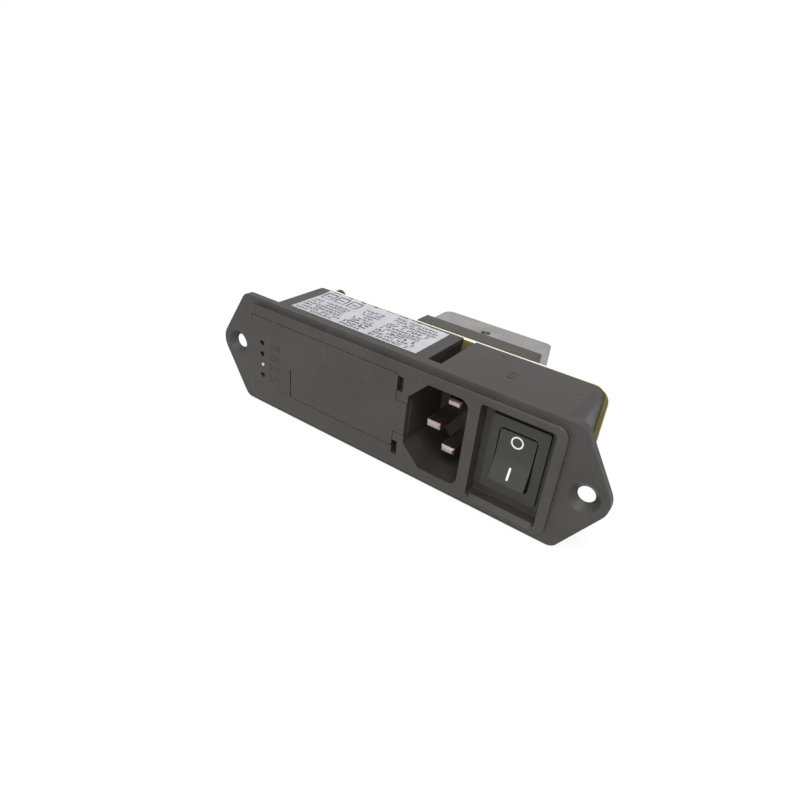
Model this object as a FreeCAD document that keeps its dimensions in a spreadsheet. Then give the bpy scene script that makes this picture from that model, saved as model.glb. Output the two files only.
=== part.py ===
import FreeCAD, Part
import Sketcher
import math
import os

# A panel-mounted mains inlet module with a fuse and voltage cover, a rocker switch and a line filter.
# Frame: X along the panel's long side, Z up, the front faces -Y, and the origin is the middle of the
# screw pattern on the face that seats against the panel.

VECTOR = FreeCAD.Vector
ORIGIN = VECTOR(0, 0, 0)
AXIS_X = VECTOR(1, 0, 0)
AXIS_Y = VECTOR(0, 1, 0)

# Tolerances: two directions that match, a point on an axis, a volume in mm3 and a place in mm
same_way = 1e-6
on_axis = 1e-9
least_change = 1e-4
edge_close = 1e-4

# Driving dimensions in millimetres and degrees: alias, value, meaning
SIZES = [
    ("hole_pitch", 110.5, "centre distance of the two panel screws"),
    ("ear_hole", 4.2, "diameter of a panel screw hole"),
    ("ear_sink", 7.6, "diameter of its countersink"),
    ("ear_radius", 5.8, "round end of an ear"),
    ("flange_straight", 103.0, "length of the flange between the ear slants"),
    ("flange_height", 34.0, "height of the flange"),
    ("flange_thick", 2.0, "thickness of the flange"),
    ("flange_corner", 3.0, "corner rounding of the flange"),
    ("bezel_length", 98.0, "length of the raised land"),
    ("bezel_height", 30.4, "height of the raised land"),
    ("bezel_proud", 1.2, "height of the raised land over the flange"),
    ("bezel_corner", 3.0, "corner rounding of the raised land"),
    ("edge_round", 0.5, "rounding of the front edges"),
    ("box_length", 96.0, "length of the box behind the panel"),
    ("box_height", 27.6, "height of the box behind the panel"),
    ("box_depth", 25.0, "depth of the box behind the panel"),
    ("box_corner", 3.0, "corner rounding of the box"),
    ("wall", 1.5, "moulded wall"),
    ("inlet_at", 16.4, "middle of the inlet along X"),
    ("cavity_width", 16.8, "inlet cavity along X"),
    ("cavity_height", 24.8, "inlet cavity along Z"),
    ("cavity_depth", 18.0, "inlet cavity from the face"),
    ("cavity_chamfer", 5.4, "chamfer on the earth side of the cavity"),
    ("cavity_round", 2.6, "rounding on the other side of the cavity"),
    ("small_round", 0.6, "rounding of the cavity's chamfered corners and the switch frame"),
    ("pin_wide", 4.0, "contact pin along X"),
    ("pin_thick", 2.0, "contact pin along Z"),
    ("pin_tip", 0.5, "chamfer at the tip of a contact pin"),
    ("pin_spread", 7.0, "line and neutral pins above and below the middle"),
    ("pin_offset", 2.0, "pins to the left and right of the middle"),
    ("line_setback", 5.2, "line and neutral tips behind the face"),
    ("earth_setback", 3.0, "earth tip behind the face"),
    ("tail_wide", 1.4, "width of a solder tail"),
    ("tail_thick", 0.8, "thickness of a solder tail"),
    ("tail_out", 1.2, "solder tail past the board"),
    ("tail_gap", 0.2, "clearance around a solder tail"),
    ("cover_left", 47.7, "left edge of the cover from the middle"),
    ("cover_right", 4.4, "right edge of the cover from the middle"),
    ("cover_top", 12.0, "top edge of the cover"),
    ("cover_bottom", 9.4, "bottom edge of the cover below the middle"),
    ("cover_thick", 2.0, "cover plate"),
    ("cover_round", 0.8, "corner rounding of the cover"),
    ("seam", 0.2, "gap around the cover"),
    ("hinge_seam", 0.1, "gap around the cover left of its slit"),
    ("rebate", 1.2, "ledge that the cover seats on"),
    ("tab_height", 9.4, "height of the pry tab"),
    ("window_at", 43.6, "row of selector windows left of the middle"),
    ("window_drop", 1.2, "middle of the window row below the middle"),
    ("window_pitch", 3.5, "pitch of the selector windows"),
    ("window_bore", 1.7, "diameter of a selector window"),
    ("slit_at", 32.2, "relief slit left of the middle"),
    ("slit_wide", 0.35, "width of the relief slit"),
    ("slit_top", 0.6, "top of the relief slit below the middle"),
    ("pry_at", 9.5, "pry pockets above and below the middle"),
    ("pry_wide", 1.7, "width of a pry pocket"),
    ("pry_tall", 4.2, "height of a pry pocket"),
    ("bay_gap", 4.1, "space between the fuse bay and the board"),
    ("card_bay", 3.6, "width of the card's own bay"),
    ("card_thick", 1.6, "selector card"),
    ("pin_round", 1.2, "diameter of the indicator pin"),
    ("fuse_length", 20.0, "length of a fuse"),
    ("fuse_bore", 5.2, "diameter of a fuse cap"),
    ("fuse_glass", 4.7, "diameter of the fuse tube"),
    ("fuse_cap", 5.0, "length of a fuse cap"),
    ("fuse_spread", 8.8, "centre distance of the two fuses"),
    ("fuse_setback", 12.4, "fuse axis behind the face"),
    ("block_depth", 10.8, "depth of the fuse block behind the cover"),
    ("fit", 0.15, "clearance of a close fit"),
    ("bite", 0.1, "overlap where one piece runs into another"),
    ("leaf", 0.4, "thickness of a leaf contact"),
    ("arch_foot", 4.8, "fuse contact's arch at its feet"),
    ("arch_top", 2.0, "fuse contact's arch at its crown"),
    ("arch_wide", 4.0, "width of a fuse contact"),
    ("recess_at", 37.1, "middle of the switch recess along X"),
    ("recess_width", 18.7, "switch recess along X"),
    ("recess_height", 26.4, "switch recess along Z"),
    ("recess_depth", 4.2, "switch recess from the face"),
    ("recess_round", 0.8, "corner rounding of the recess"),
    ("recess_bevel", 0.9, "height of the bevel along the bottom of the recess"),
    ("bevel_deep", 1.3, "depth of that bevel"),
    ("frame_width", 14.9, "switch frame along X"),
    ("frame_height", 20.9, "switch frame along Z"),
    ("frame_thick", 1.1, "switch frame"),
    ("body_width", 12.8, "switch body along X"),
    ("body_height", 19.2, "switch body along Z"),
    ("body_depth", 17.2, "switch body behind its frame"),
    ("rocker_width", 9.3, "rocker along X"),
    ("rocker_reach", 7.5, "radius of the rocker's ends about its pivot"),
    ("rocker_round", 1.3, "corner rounding of the rocker"),
    ("rocker_gap", 0.3, "clearance around the rocker"),
    ("rocker_front", 3.4, "front ends of the level rocker ahead of the pivot"),
    ("rocker_dip", 1.0, "dip of the level rocker at its middle"),
    ("rocker_curve", 15.0, "radius of that dip"),
    ("rocker_back", 2.2, "back of the rocker behind the pivot"),
    ("rocker_tilt", 9.0, "tilt of the rocker either side of level"),
    ("pivot_setback", 5.3, "rocker pivot behind the face"),
    ("pivot_bore", 2.4, "diameter of the rocker's pivot stubs"),
    ("pole_spread", 5.2, "centre distance of the two switch poles"),
    ("boss_bore", 3.4, "diameter of a plunger boss"),
    ("boss_long", 2.4, "plunger boss behind the rocker"),
    ("plunger_bore", 1.6, "diameter of a plunger"),
    ("plunger_reach", 6.2, "plunger tip behind the pivot"),
    ("blade_setback", 6.7, "switch blade axis behind the rocker pivot"),
    ("blade_span", 13.0, "length of a switch blade"),
    ("blade_wide", 2.4, "width of a switch blade"),
    ("blade_ridge", 0.7, "diameter of the ridge that a switch blade rocks on"),
    ("blade_tilt", 6.0, "tilt of a switch blade either side of level"),
    ("contact_rise", 5.8, "fixed contact above the blade axis"),
    ("contact_bore", 2.0, "diameter of a fixed contact"),
    ("contact_gap", 1.0, "face of a fixed contact behind the blade axis"),
    ("board_right", 49.2, "right edge of the board from the middle"),
    ("board_left", 47.4, "left edge of the board from the middle"),
    ("board_height", 26.8, "height of the board"),
    ("board_thick", 1.6, "thickness of the board"),
    ("board_corner", 3.8, "corner rounding of the board"),
    ("stake_bore", 2.4, "diameter of a moulded stake"),
    ("stake_head", 4.2, "diameter of a stake head"),
    ("stake_rise", 3.0, "height of a stake head"),
    ("stake_in", 6.4, "left stakes in from the box's end"),
    ("stake_near", 3.4, "right stakes in from the box's end"),
    ("stake_drop", 2.8, "left stakes in from the box's top and bottom"),
    ("stake_low", 5.4, "right stakes in from the box's top and bottom"),
    ("base_right", 27.4, "right edge of the filter base from the middle"),
    ("base_height", 27.4, "height of the filter base"),
    ("base_depth", 5.3, "filter base behind the board"),
    ("can_left", 7.6, "left edge of the filter can from the middle"),
    ("can_height", 27.0, "height of the filter can"),
    ("can_depth", 8.6, "filter can behind its base"),
    ("can_corner", 2.4, "rounding of the can's rear corners"),
    ("slot_left", 6.8, "left edge of the top slot from the middle"),
    ("slot_wide", 4.0, "width of the top slot"),
    ("slot_front", 6.4, "front end of the top slot behind the panel"),
    ("blade_tab", 6.3, "width of a quick-connect tab"),
    ("blade_long", 8.0, "length of a quick-connect tab"),
    ("blade_thick", 0.8, "thickness of a quick-connect tab"),
    ("blade_pitch", 6.5, "pitch of the quick-connect tabs"),
    ("blade_first", 35.5, "first quick-connect tab left of the middle"),
    ("blade_drop", 4.0, "quick-connect tabs below the middle"),
    ("blade_hole", 1.8, "hole in a quick-connect tab"),
    ("blade_bevel", 1.3, "corner bevel of a quick-connect tab"),
    ("dimple_at", 9.2, "can dimple along X"),
    ("dimple_bore", 2.8, "diameter of the can dimple"),
    ("dimple_deep", 1.0, "depth of the can dimple"),
    ("dimple_back", 1.7, "can dimple behind the filter base"),
    ("screw_bore", 2.2, "diameter of the block screw"),
    ("screw_head", 4.0, "diameter of its head"),
    ("screw_rise", 1.4, "height of its head"),
    ("screw_boss", 4.4, "diameter of the cover's screw boss"),
    ("boss_rise", 4.0, "height of the cover's screw boss"),
    ("label_thick", 0.1, "thickness of the rating label"),
    ("label_left", 41.4, "left edge of the label from the middle"),
    ("label_right", 2.9, "right edge of the label from the middle"),
    ("label_back", 1.2, "label in from the back of the box"),
]


class Dim:
    """A length that carries its number and the sheet expression that it comes from."""

    def __init__(self, number, text):
        self.number = float(number)
        self.text = text

    def __add__(self, other):
        other = dim(other)
        return Dim(self.number + other.number, f"({self.text} + {other.text})")

    def __sub__(self, other):
        other = dim(other)
        return Dim(self.number - other.number, f"({self.text} - {other.text})")

    def __mul__(self, other):
        other = dim(other)
        return Dim(self.number * other.number, f"({self.text} * {other.text})")

    def __truediv__(self, other):
        other = dim(other)
        return Dim(self.number / other.number, f"({self.text} / {other.text})")

    def __neg__(self):
        return Dim(-self.number, f"(0 - {self.text})")

    def __radd__(self, other):
        return dim(other) + self

    def __rsub__(self, other):
        return dim(other) - self

    def __rmul__(self, other):
        return dim(other) * self


def dim(value):
    """A plain number as a Dim; a Dim stays as it is."""
    return value if isinstance(value, Dim) else Dim(value, repr(float(value)))


def make_sheet():
    """The sheet of driving dimensions, and a Dim for each of them."""
    sheet = doc.addObject("Spreadsheet::Sheet", "sizes")
    for row, (alias, value, meaning) in enumerate(SIZES, start=1):
        sheet.set(f"A{row}", str(value))
        sheet.setAlias(f"A{row}", alias)
        sheet.set(f"B{row}", meaning)
    doc.recompute()
    return {alias: Dim(getattr(sheet, alias), f"sizes.{alias}") for alias, _, _ in SIZES}


class Sizes:
    """Sizes by name, so that s.wall is the moulded wall."""

    def __init__(self, table):
        self.__dict__.update(table)


def bind(thing, prop, size):
    """Tie one property to the sheet."""
    thing.setExpression(prop, dim(size).text)


def place(thing, x=0, y=0, z=0):
    """Tie the position of an object to the sheet."""
    for axis, value in zip("xyz", (x, y, z)):
        bind(thing, f"Placement.Base.{axis}", value)
    return thing


def block(name, x, y, z):
    """A box between two limits on each axis."""
    thing = doc.addObject("Part::Box", name)
    bind(thing, "Length", x[1] - x[0])
    bind(thing, "Width", y[1] - y[0])
    bind(thing, "Height", z[1] - z[0])
    return place(thing, x[0], y[0], z[0])


def rod(name, bore, length, x, y, z, along=AXIS_Y):
    """A cylinder of a given diameter that starts at a point and runs along +Y or +X."""
    thing = doc.addObject("Part::Cylinder", name)
    bind(thing, "Radius", dim(bore) / 2)
    bind(thing, "Height", length)
    turn = FreeCAD.Rotation(VECTOR(0, 0, 1), along)
    thing.Placement = FreeCAD.Placement(ORIGIN, turn)
    return place(thing, x, y, z)


def cone(name, front_bore, back_bore, length, x, y):
    """A cone along +Y between two diameters, on the middle plane."""
    thing = doc.addObject("Part::Cone", name)
    bind(thing, "Radius1", dim(front_bore) / 2)
    bind(thing, "Radius2", dim(back_bore) / 2)
    bind(thing, "Height", length)
    thing.Placement = FreeCAD.Placement(ORIGIN, FreeCAD.Rotation(VECTOR(0, 0, 1), AXIS_Y))
    return place(thing, x, y, 0)


def fused(name, pieces):
    """Several objects as one solid, or as a group where they stay apart."""
    thing = doc.addObject("Part::MultiFuse", name)
    thing.Shapes = pieces
    return thing


def grouped(name, pieces):
    """Separate solids that share one node."""
    thing = doc.addObject("Part::Compound", name)
    thing.Links = pieces
    return thing


def minus(name, base, tools):
    """A solid less one or more others."""
    tool = tools[0] if len(tools) == 1 else fused(f"{name}_tools", tools)
    thing = doc.addObject("Part::Cut", name)
    thing.Base = base
    thing.Tool = tool
    return thing


def parallel_edges(shape, axis):
    """The names of the straight edges along one axis."""
    found = []
    for index, edge in enumerate(shape.Edges, start=1):
        if not isinstance(edge.Curve, Part.Line):
            continue
        along = abs(edge.tangentAt(edge.FirstParameter).dot(axis))
        if abs(along - 1) < same_way:
            found.append(index)
    return found


def rounded(name, base, axis, radius):
    """A box whose edges along one axis are rounded."""
    doc.recompute()
    thing = doc.addObject("Part::Fillet", name)
    thing.Base = base
    amount = dim(radius).number
    thing.Edges = [(index, amount, amount) for index in parallel_edges(base.Shape, axis)]
    return thing


# Sketches: a corner is (across, up, radius), and a radius of zero leaves it sharp

PLANES = {"XZ": ("XZ_Plane", -1), "XY": ("XY_Plane", 1), "YZ": ("YZ_Plane", 1)}


def new_body(name):
    return doc.addObject("PartDesign::Body", name)


def new_sketch(body, name, plane, offset):
    """A sketch parallel to an origin plane of its own body, at a distance along that plane's axis."""
    role, sign = PLANES[plane]
    sketch = body.newObject("Sketcher::SketchObject", name)
    base = [item for item in body.Origin.OriginFeatures if item.Role == role][0]
    sketch.AttachmentSupport = [(base, "")]
    sketch.MapMode = "FlatFace"
    bind(sketch, "AttachmentOffset.Base.z", dim(offset) * sign)
    return sketch


def hold(sketch, kind, geometry, point, size):
    """Hold a point at a bound distance from the sketch origin, or on its axis."""
    size = dim(size)
    if abs(size.number) < on_axis:
        axis = -2 if kind == "DistanceX" else -1
        sketch.addConstraint(Sketcher.Constraint("PointOnObject", geometry, point, axis))
        return
    index = sketch.addConstraint(Sketcher.Constraint(kind, -1, 1, geometry, point, size.number))
    sketch.setExpression(f"Constraints[{index}]", size.text)


def draw_circle(sketch, across, up, bore):
    across, up, bore = dim(across), dim(up), dim(bore)
    centre = VECTOR(across.number, up.number, 0)
    ring = sketch.addGeometry(Part.Circle(centre, VECTOR(0, 0, 1), bore.number / 2), False)
    hold(sketch, "DistanceX", ring, 3, across)
    hold(sketch, "DistanceY", ring, 3, up)
    index = sketch.addConstraint(Sketcher.Constraint("Radius", ring, bore.number / 2))
    sketch.setExpression(f"Constraints[{index}]", (bore / 2).text)


def corner_arc(before, here, after, radius):
    """Tangent points and arc of a rounded corner, and whether the arc runs backwards."""
    to_before = (before - here).normalize()
    to_after = (after - here).normalize()
    half = to_before.getAngle(to_after) / 2
    first = here + to_before * (radius / math.tan(half))
    last = here + to_after * (radius / math.tan(half))
    centre = here + (to_before + to_after).normalize() * (radius / math.sin(half))
    turns_left = (here - before).cross(after - here).z > 0
    start, end = (first, last) if turns_left else (last, first)
    angles = [math.atan2(point.y - centre.y, point.x - centre.x) for point in (start, end)]
    arc = Part.ArcOfCircle(Part.Circle(centre, VECTOR(0, 0, 1), radius), angles[0], angles[1])
    return first, last, arc, turns_left


def draw_outline(sketch, corners):
    """A closed outline through its corners, with tangent arcs where a corner has a radius."""
    corners = [tuple(dim(value) for value in corner) for corner in corners]
    points = [VECTOR(across.number, up.number, 0) for across, up, _ in corners]
    count = len(points)
    bends = []
    for index, (_, _, radius) in enumerate(corners):
        before, here, after = points[index - 1], points[index], points[(index + 1) % count]
        rounded_corner = corner_arc(before, here, after, radius.number) if radius.number else None
        bends.append(rounded_corner or (here, here, None, True))
    lines = []
    for index in range(count):
        following = bends[(index + 1) % count]
        lines.append(sketch.addGeometry(Part.LineSegment(bends[index][1], following[0]), False))
    for index, (across, up, radius) in enumerate(corners):
        incoming, outgoing = lines[index - 1], lines[index]
        _, _, arc, turns_left = bends[index]
        if arc is None:
            sketch.addConstraint(Sketcher.Constraint("Coincident", incoming, 2, outgoing, 1))
            hold(sketch, "DistanceX", outgoing, 1, across)
            hold(sketch, "DistanceY", outgoing, 1, up)
            continue
        bend = sketch.addGeometry(arc, False)
        first, last = (1, 2) if turns_left else (2, 1)
        sketch.addConstraint(Sketcher.Constraint("Tangent", incoming, 2, bend, first))
        sketch.addConstraint(Sketcher.Constraint("Tangent", outgoing, 1, bend, last))
        limit = sketch.addConstraint(Sketcher.Constraint("Radius", bend, radius.number))
        sketch.setExpression(f"Constraints[{limit}]", radius.text)
        mark = sketch.addGeometry(Part.Point(points[index]), True)
        hold(sketch, "DistanceX", mark, 1, across)
        hold(sketch, "DistanceY", mark, 1, up)
        sketch.addConstraint(Sketcher.Constraint("PointOnObject", mark, 1, incoming))
        sketch.addConstraint(Sketcher.Constraint("PointOnObject", mark, 1, outgoing))


def rectangle(across, up, radius=0):
    """The corners of a rectangle between two limits each way."""
    return [(across[0], up[0], radius), (across[1], up[0], radius),
            (across[1], up[1], radius), (across[0], up[1], radius)]


def extrude(body, name, kind, plane, offset, length, outlines=(), circles=(), backwards=False):
    """A pad or pocket of one sketch, checked to have changed the solid."""
    sketch = new_sketch(body, f"{name}_sketch", plane, offset)
    for corners in outlines:
        draw_outline(sketch, corners)
    for circle in circles:
        draw_circle(sketch, *circle)
    doc.recompute()
    before = body.Tip.Shape.Volume if body.Tip and not body.Tip.Shape.isNull() else 0
    feature = body.newObject(f"PartDesign::{kind}", name)
    feature.Profile = sketch
    feature.Reversed = backwards
    bind(feature, "Length", length)
    doc.recompute()
    if abs(feature.Shape.Volume - before) < least_change:
        raise RuntimeError(f"{body.Name}: {name} changed nothing")
    return feature


def pad(body, name, offset, length, outlines=(), circles=(), plane="XZ"):
    """Material from a plane towards +Y, +Z or +X."""
    return extrude(body, name, "Pad", plane, offset, length, outlines, circles, backwards=plane == "XZ")


def pocket(body, name, offset, length, outlines=(), circles=(), plane="XZ"):
    """A cut from a plane towards +Y, +Z or +X."""
    return extrude(body, name, "Pocket", plane, offset, length, outlines, circles, backwards=plane != "XZ")


def dress_edges(body, name, kind, measure, amount, chosen):
    """A fillet or chamfer on the edges of the tip whose middle point is chosen."""
    tip = body.Tip
    names = []
    for index, edge in enumerate(tip.Shape.Edges, start=1):
        middle = edge.valueAt((edge.FirstParameter + edge.LastParameter) / 2)
        if chosen(middle):
            names.append(f"Edge{index}")
    feature = body.newObject(f"PartDesign::{kind}", name)
    feature.Base = (tip, names)
    bind(feature, measure, amount)
    doc.recompute()
    return feature


def round_edges(body, name, radius, chosen):
    """Round the chosen edges."""
    return dress_edges(body, name, "Fillet", "Radius", radius, chosen)


def bevel_edges(body, name, size, chosen):
    """Bevel the chosen edges."""
    return dress_edges(body, name, "Chamfer", "Size", size, chosen)


doc = FreeCAD.newDocument("inlet_module")
s = Sizes(make_sheet())

# Planes that several pieces share

face_y = -(s.flange_thick + s.bezel_proud)
flange_y = -s.flange_thick
box_x = s.box_length / 2
box_z = s.box_height / 2
inner_x = box_x - s.wall
inner_z = box_z - s.wall
board_y = s.box_depth
board_back = board_y + s.board_thick
tail_end = board_back + s.tail_out
cavity_left = s.inlet_at - s.cavity_width / 2
cavity_right = s.inlet_at + s.cavity_width / 2
cavity_floor = face_y + s.cavity_depth
cavity_back = cavity_floor + s.wall
bay_back = board_y - s.bay_gap
bay_floor = bay_back - s.wall
bay_depth = bay_floor - face_y
cover_back = face_y + s.cover_thick
bay_top = s.cover_top - s.rebate
bay_bottom = -(s.cover_bottom - s.rebate)
card_left = -(s.window_at + s.card_bay / 2)
card_right = -(s.window_at - s.card_bay / 2)
fuse_left = card_right + s.wall
fuse_right = s.cover_right - s.rebate
tab_top = s.tab_height / 2
recess_floor = face_y + s.recess_depth
frame_face = recess_floor - s.frame_thick
pivot_y = face_y + s.pivot_setback
hole_x = s.hole_pitch / 2
block_back = cover_back + s.block_depth
fuse_y = face_y + s.fuse_setback
fuse_mid_x = (fuse_left + fuse_right) / 2
fuse_mid_z = (bay_top + bay_bottom) / 2
fuse_heights = {"upper": fuse_mid_z + s.fuse_spread / 2, "lower": fuse_mid_z - s.fuse_spread / 2}
cap_x = s.fuse_length / 2 - s.fuse_cap / 2
cap_middles = [fuse_mid_x - cap_x, fuse_mid_x + cap_x]
stakes = [(-(box_x - s.stake_in), box_z - s.stake_drop), (box_x - s.stake_near, box_z - s.stake_low)]
stakes += [(x, -z) for x, z in stakes]
half_tail_x = s.tail_wide / 2
half_tail_z = s.tail_thick / 2
base_left = cap_middles[1] + half_tail_x + s.tail_gap
pins = {"line_pin": (s.inlet_at + s.pin_offset, s.pin_spread, s.line_setback),
        "neutral_pin": (s.inlet_at + s.pin_offset, -s.pin_spread, s.line_setback),
        "earth_pin": (s.inlet_at - s.pin_offset, dim(0), s.earth_setback)}
card_contacts_z = [fuse_mid_z - s.fuse_spread / 2, fuse_mid_z + s.fuse_spread / 2]
poles = [s.recess_at - s.pole_spread / 2, s.recess_at + s.pole_spread / 2]
blade_y = pivot_y + s.blade_setback
switch_points = [(x, z) for x in poles for z in (dim(0), s.contact_rise)]
bay_tails = [(x, z) for x in cap_middles for z in fuse_heights.values()]
bay_tails += [(-s.window_at, z) for z in card_contacts_z]
blade_xs = [-s.blade_first + s.blade_pitch * index for index in range(4)]
rear_tails = [(x, -s.blade_drop) for x in blade_xs]


def tail_hole(x, z):
    """Outline of a slot that a solder tail passes through."""
    wide = half_tail_x + s.tail_gap
    tall = half_tail_z + s.tail_gap
    return rectangle((x - wide, x + wide), (z - tall, z + tall))


def tail(name, x, z, start, end):
    """A solder tail between two depths."""
    return block(name, (x - half_tail_x, x + half_tail_x), (start, end), (z - half_tail_z, z + half_tail_z))


def pad_tail(body, name, x, z, start):
    """A solder tail as a feature of a contact, from a depth to past the board."""
    section = rectangle((x - half_tail_x, x + half_tail_x), (z - half_tail_z, z + half_tail_z))
    pad(body, f"{name}_tail", start, tail_end - start, [section])


def pin_section(x, z):
    """Outline of a flat contact pin."""
    half_x, half_z = s.pin_wide / 2, s.pin_thick / 2
    return rectangle((x - half_x, x + half_x), (z - half_z, z + half_z))


def cavity_outline():
    """The inlet's mouth: chamfered on the earth side, rounded on the other."""
    half = s.cavity_height / 2
    cut = s.cavity_chamfer
    small = s.small_round
    return [(cavity_left, -(half - cut), small), (cavity_left + cut, -half, small),
            (cavity_right, -half, s.cavity_round), (cavity_right, half, s.cavity_round),
            (cavity_left + cut, half, small), (cavity_left, half - cut, small)]


def cover_outline(grow, hinge_grow):
    """The cover with its pry tab, or the recess around it, which is closer left of the slit."""
    left, right = -(s.cover_left + hinge_grow), s.cover_right + grow
    low, high = -(s.cover_bottom + grow), s.cover_top + grow
    tab = tab_top + grow
    reach = cavity_left - s.fit + grow * 2
    rest = [(right, low, s.cover_round), (right, -tab, 0), (reach, -tab, 0), (reach, tab, 0),
            (right, tab, 0), (right, high, s.cover_round), (left, high, s.cover_round)]
    if grow.number == hinge_grow.number:
        return [(left, low, s.cover_round), *rest]
    step = -(s.slit_at + s.slit_wide / 2)
    close = -(s.cover_bottom + hinge_grow)
    return [(left, close, s.cover_round), (step, close, 0), (step, low, 0), *rest]


def flange_outline():
    """A long plate whose ends slant in to a round ear about each panel screw."""
    half = s.flange_height / 2
    corner = s.flange_straight / 2
    inset = hole_x.number - corner.number
    reach = math.hypot(inset, half.number)
    slant = math.atan2(inset, half.number) + math.asin(s.ear_radius.number / reach)
    lean = (f"({half.text} * tan(atan(({hole_x.text} - {corner.text}) / {half.text}) + "
            f"asin({s.ear_radius.text} / hypot({hole_x.text} - {corner.text}; {half.text}))))")
    tip = corner + Dim(half.number * math.tan(slant), lean)
    return [(-corner, -half, s.flange_corner), (corner, -half, s.flange_corner), (tip, 0, s.ear_radius),
            (corner, half, s.flange_corner), (-corner, half, s.flange_corner), (-tip, 0, s.ear_radius)]


def front_edge(middle):
    """Whether an edge, by its middle point, lies on the raised land's face."""
    return abs(middle.y - face_y.number) < edge_close


def make_housing():
    """One moulding: flange, raised land, box, inlet cavity, fuse bay, switch recess and board stakes."""
    body = new_body("housing_moulding")
    half_x, half_z = s.bezel_length / 2, s.bezel_height / 2
    land = rectangle((-half_x, half_x), (-half_z, half_z), s.bezel_corner)
    pad(body, "flange", flange_y, s.flange_thick, [flange_outline()])
    pad(body, "box", 0, s.box_depth, [rectangle((-box_x, box_x), (-box_z, box_z), s.box_corner)])
    pad(body, "land", face_y, s.bezel_proud, [land])
    round_edges(body, "land_round", s.edge_round, front_edge)
    pocket(body, "cavity", face_y, s.cavity_depth, [cavity_outline()])
    pocket(body, "cover_recess", face_y, s.cover_thick, [cover_outline(s.seam, s.hinge_seam)])
    bay_limits = [(card_left, card_right), (fuse_left, fuse_right)]
    bays = [rectangle(limits, (bay_bottom, bay_top)) for limits in bay_limits]
    pocket(body, "bays", face_y, bay_depth, bays)
    pry_left = s.cover_right + s.seam
    half = s.pry_tall / 2
    pry = [rectangle((pry_left - s.bite, pry_left + s.pry_wide), (z - half, z + half))
           for z in (-s.pry_at, s.pry_at)]
    pocket(body, "pry_pockets", face_y, s.cover_thick + s.seam * 2, pry)
    half_x, half_z = s.recess_width / 2, s.recess_height / 2
    pocket(body, "switch_recess", face_y, s.recess_depth,
           [rectangle((s.recess_at - half_x, s.recess_at + half_x), (-half_z, half_z), s.recess_round)])
    lip = [(face_y, -(half_z + s.recess_bevel), 0), (face_y + s.bevel_deep, -half_z, 0), (face_y, -half_z, 0)]
    lip_start = s.recess_at - half_x + s.recess_round
    pocket(body, "recess_lip", lip_start, s.recess_width - s.recess_round * 2, [lip], plane="YZ")
    half_x, half_z = s.body_width / 2, s.body_height / 2
    pocket(body, "switch_hole", recess_floor, s.wall + s.bite,
           [rectangle((s.recess_at - half_x, s.recess_at + half_x), (-half_z, half_z))])
    switch_back = recess_floor + s.wall
    pocket(body, "switch_space", switch_back, s.box_depth - switch_back,
           [rectangle((cavity_right + s.wall, inner_x), (-inner_z, inner_z))])
    pocket(body, "inlet_space", cavity_back, s.box_depth - cavity_back,
           [rectangle((cavity_left - s.wall, cavity_right), (-inner_z, inner_z))])
    pocket(body, "bay_space", bay_back, s.box_depth - bay_back,
           [rectangle((-inner_x, cavity_left - s.wall - s.leaf * 2), (-inner_z, inner_z))])
    pocket(body, "bay_core", s.wall, s.box_depth - s.wall,
           [rectangle((-inner_x, fuse_right), (-inner_z, bay_bottom - s.wall))])
    void_z = s.cavity_height / 2 - s.cavity_chamfer + s.wall * math.tan(math.pi / 8)
    void_right = cavity_left - s.wall
    void = [(s.slot_left, void_z + s.slot_left - void_right, 0),
            (void_right + inner_z - void_z, inner_z, 0), (s.slot_left, inner_z, 0)]
    pocket(body, "slot_space", s.slot_front, s.box_depth - s.slot_front, [void])
    pocket(body, "top_slot", s.slot_front, s.box_depth - s.slot_front,
           [rectangle((s.slot_left, s.slot_left + s.slot_wide), (inner_z - s.bite, box_z + s.bite))])
    pocket(body, "pin_holes", cavity_floor, s.wall + s.bite, [pin_section(x, z) for x, z, _ in pins.values()])
    pocket(body, "bay_slots", bay_floor, s.wall + s.bite, [tail_hole(x, z) for x, z in bay_tails])
    half = s.stake_head / 2
    posts = [rectangle((x - half, x + half), (z - half, z + half)) for x, z in stakes]
    pad(body, "stake_posts", bay_back, s.box_depth - bay_back, posts)
    pad(body, "stakes", board_y, s.board_thick, circles=[(x, z, s.stake_bore) for x, z in stakes])
    pad(body, "stake_heads", board_back, s.stake_rise, circles=[(x, z, s.stake_head) for x, z in stakes])
    ears = [(x, 0, s.ear_hole) for x in (-hole_x, hole_x)]
    pocket(body, "ear_holes", flange_y, s.flange_thick, circles=ears)
    sink = (s.ear_sink - s.ear_hole) / 2
    cones = [cone(f"countersink_{side}", s.ear_sink, s.ear_hole, sink, x, flange_y)
             for side, x in (("left", -hole_x), ("right", hole_x))]
    return minus("housing", body, cones)


def make_cover():
    """The cover plate with its pry tab, selector windows, relief slit and screw boss."""
    body = new_body("cover")
    windows = [(-s.window_at, -s.window_drop + s.window_pitch * (1.5 - index), s.window_bore)
               for index in range(4)]
    pad(body, "cover_plate", face_y, s.cover_thick, [cover_outline(dim(0), dim(0))])
    pocket(body, "windows", face_y, s.cover_thick, circles=windows)
    half = s.slit_wide / 2
    slit = rectangle((-s.slit_at - half, -s.slit_at + half), (-(s.cover_bottom + s.bite), -s.slit_top))
    pocket(body, "slit", face_y, s.cover_thick, [slit])
    boss = (fuse_mid_x, fuse_mid_z)
    pad(body, "screw_boss_pad", cover_back, s.boss_rise, circles=[(*boss, s.screw_boss)])
    pocket(body, "screw_pilot", cover_back, s.boss_rise, circles=[(*boss, s.screw_bore)])
    return body


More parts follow.
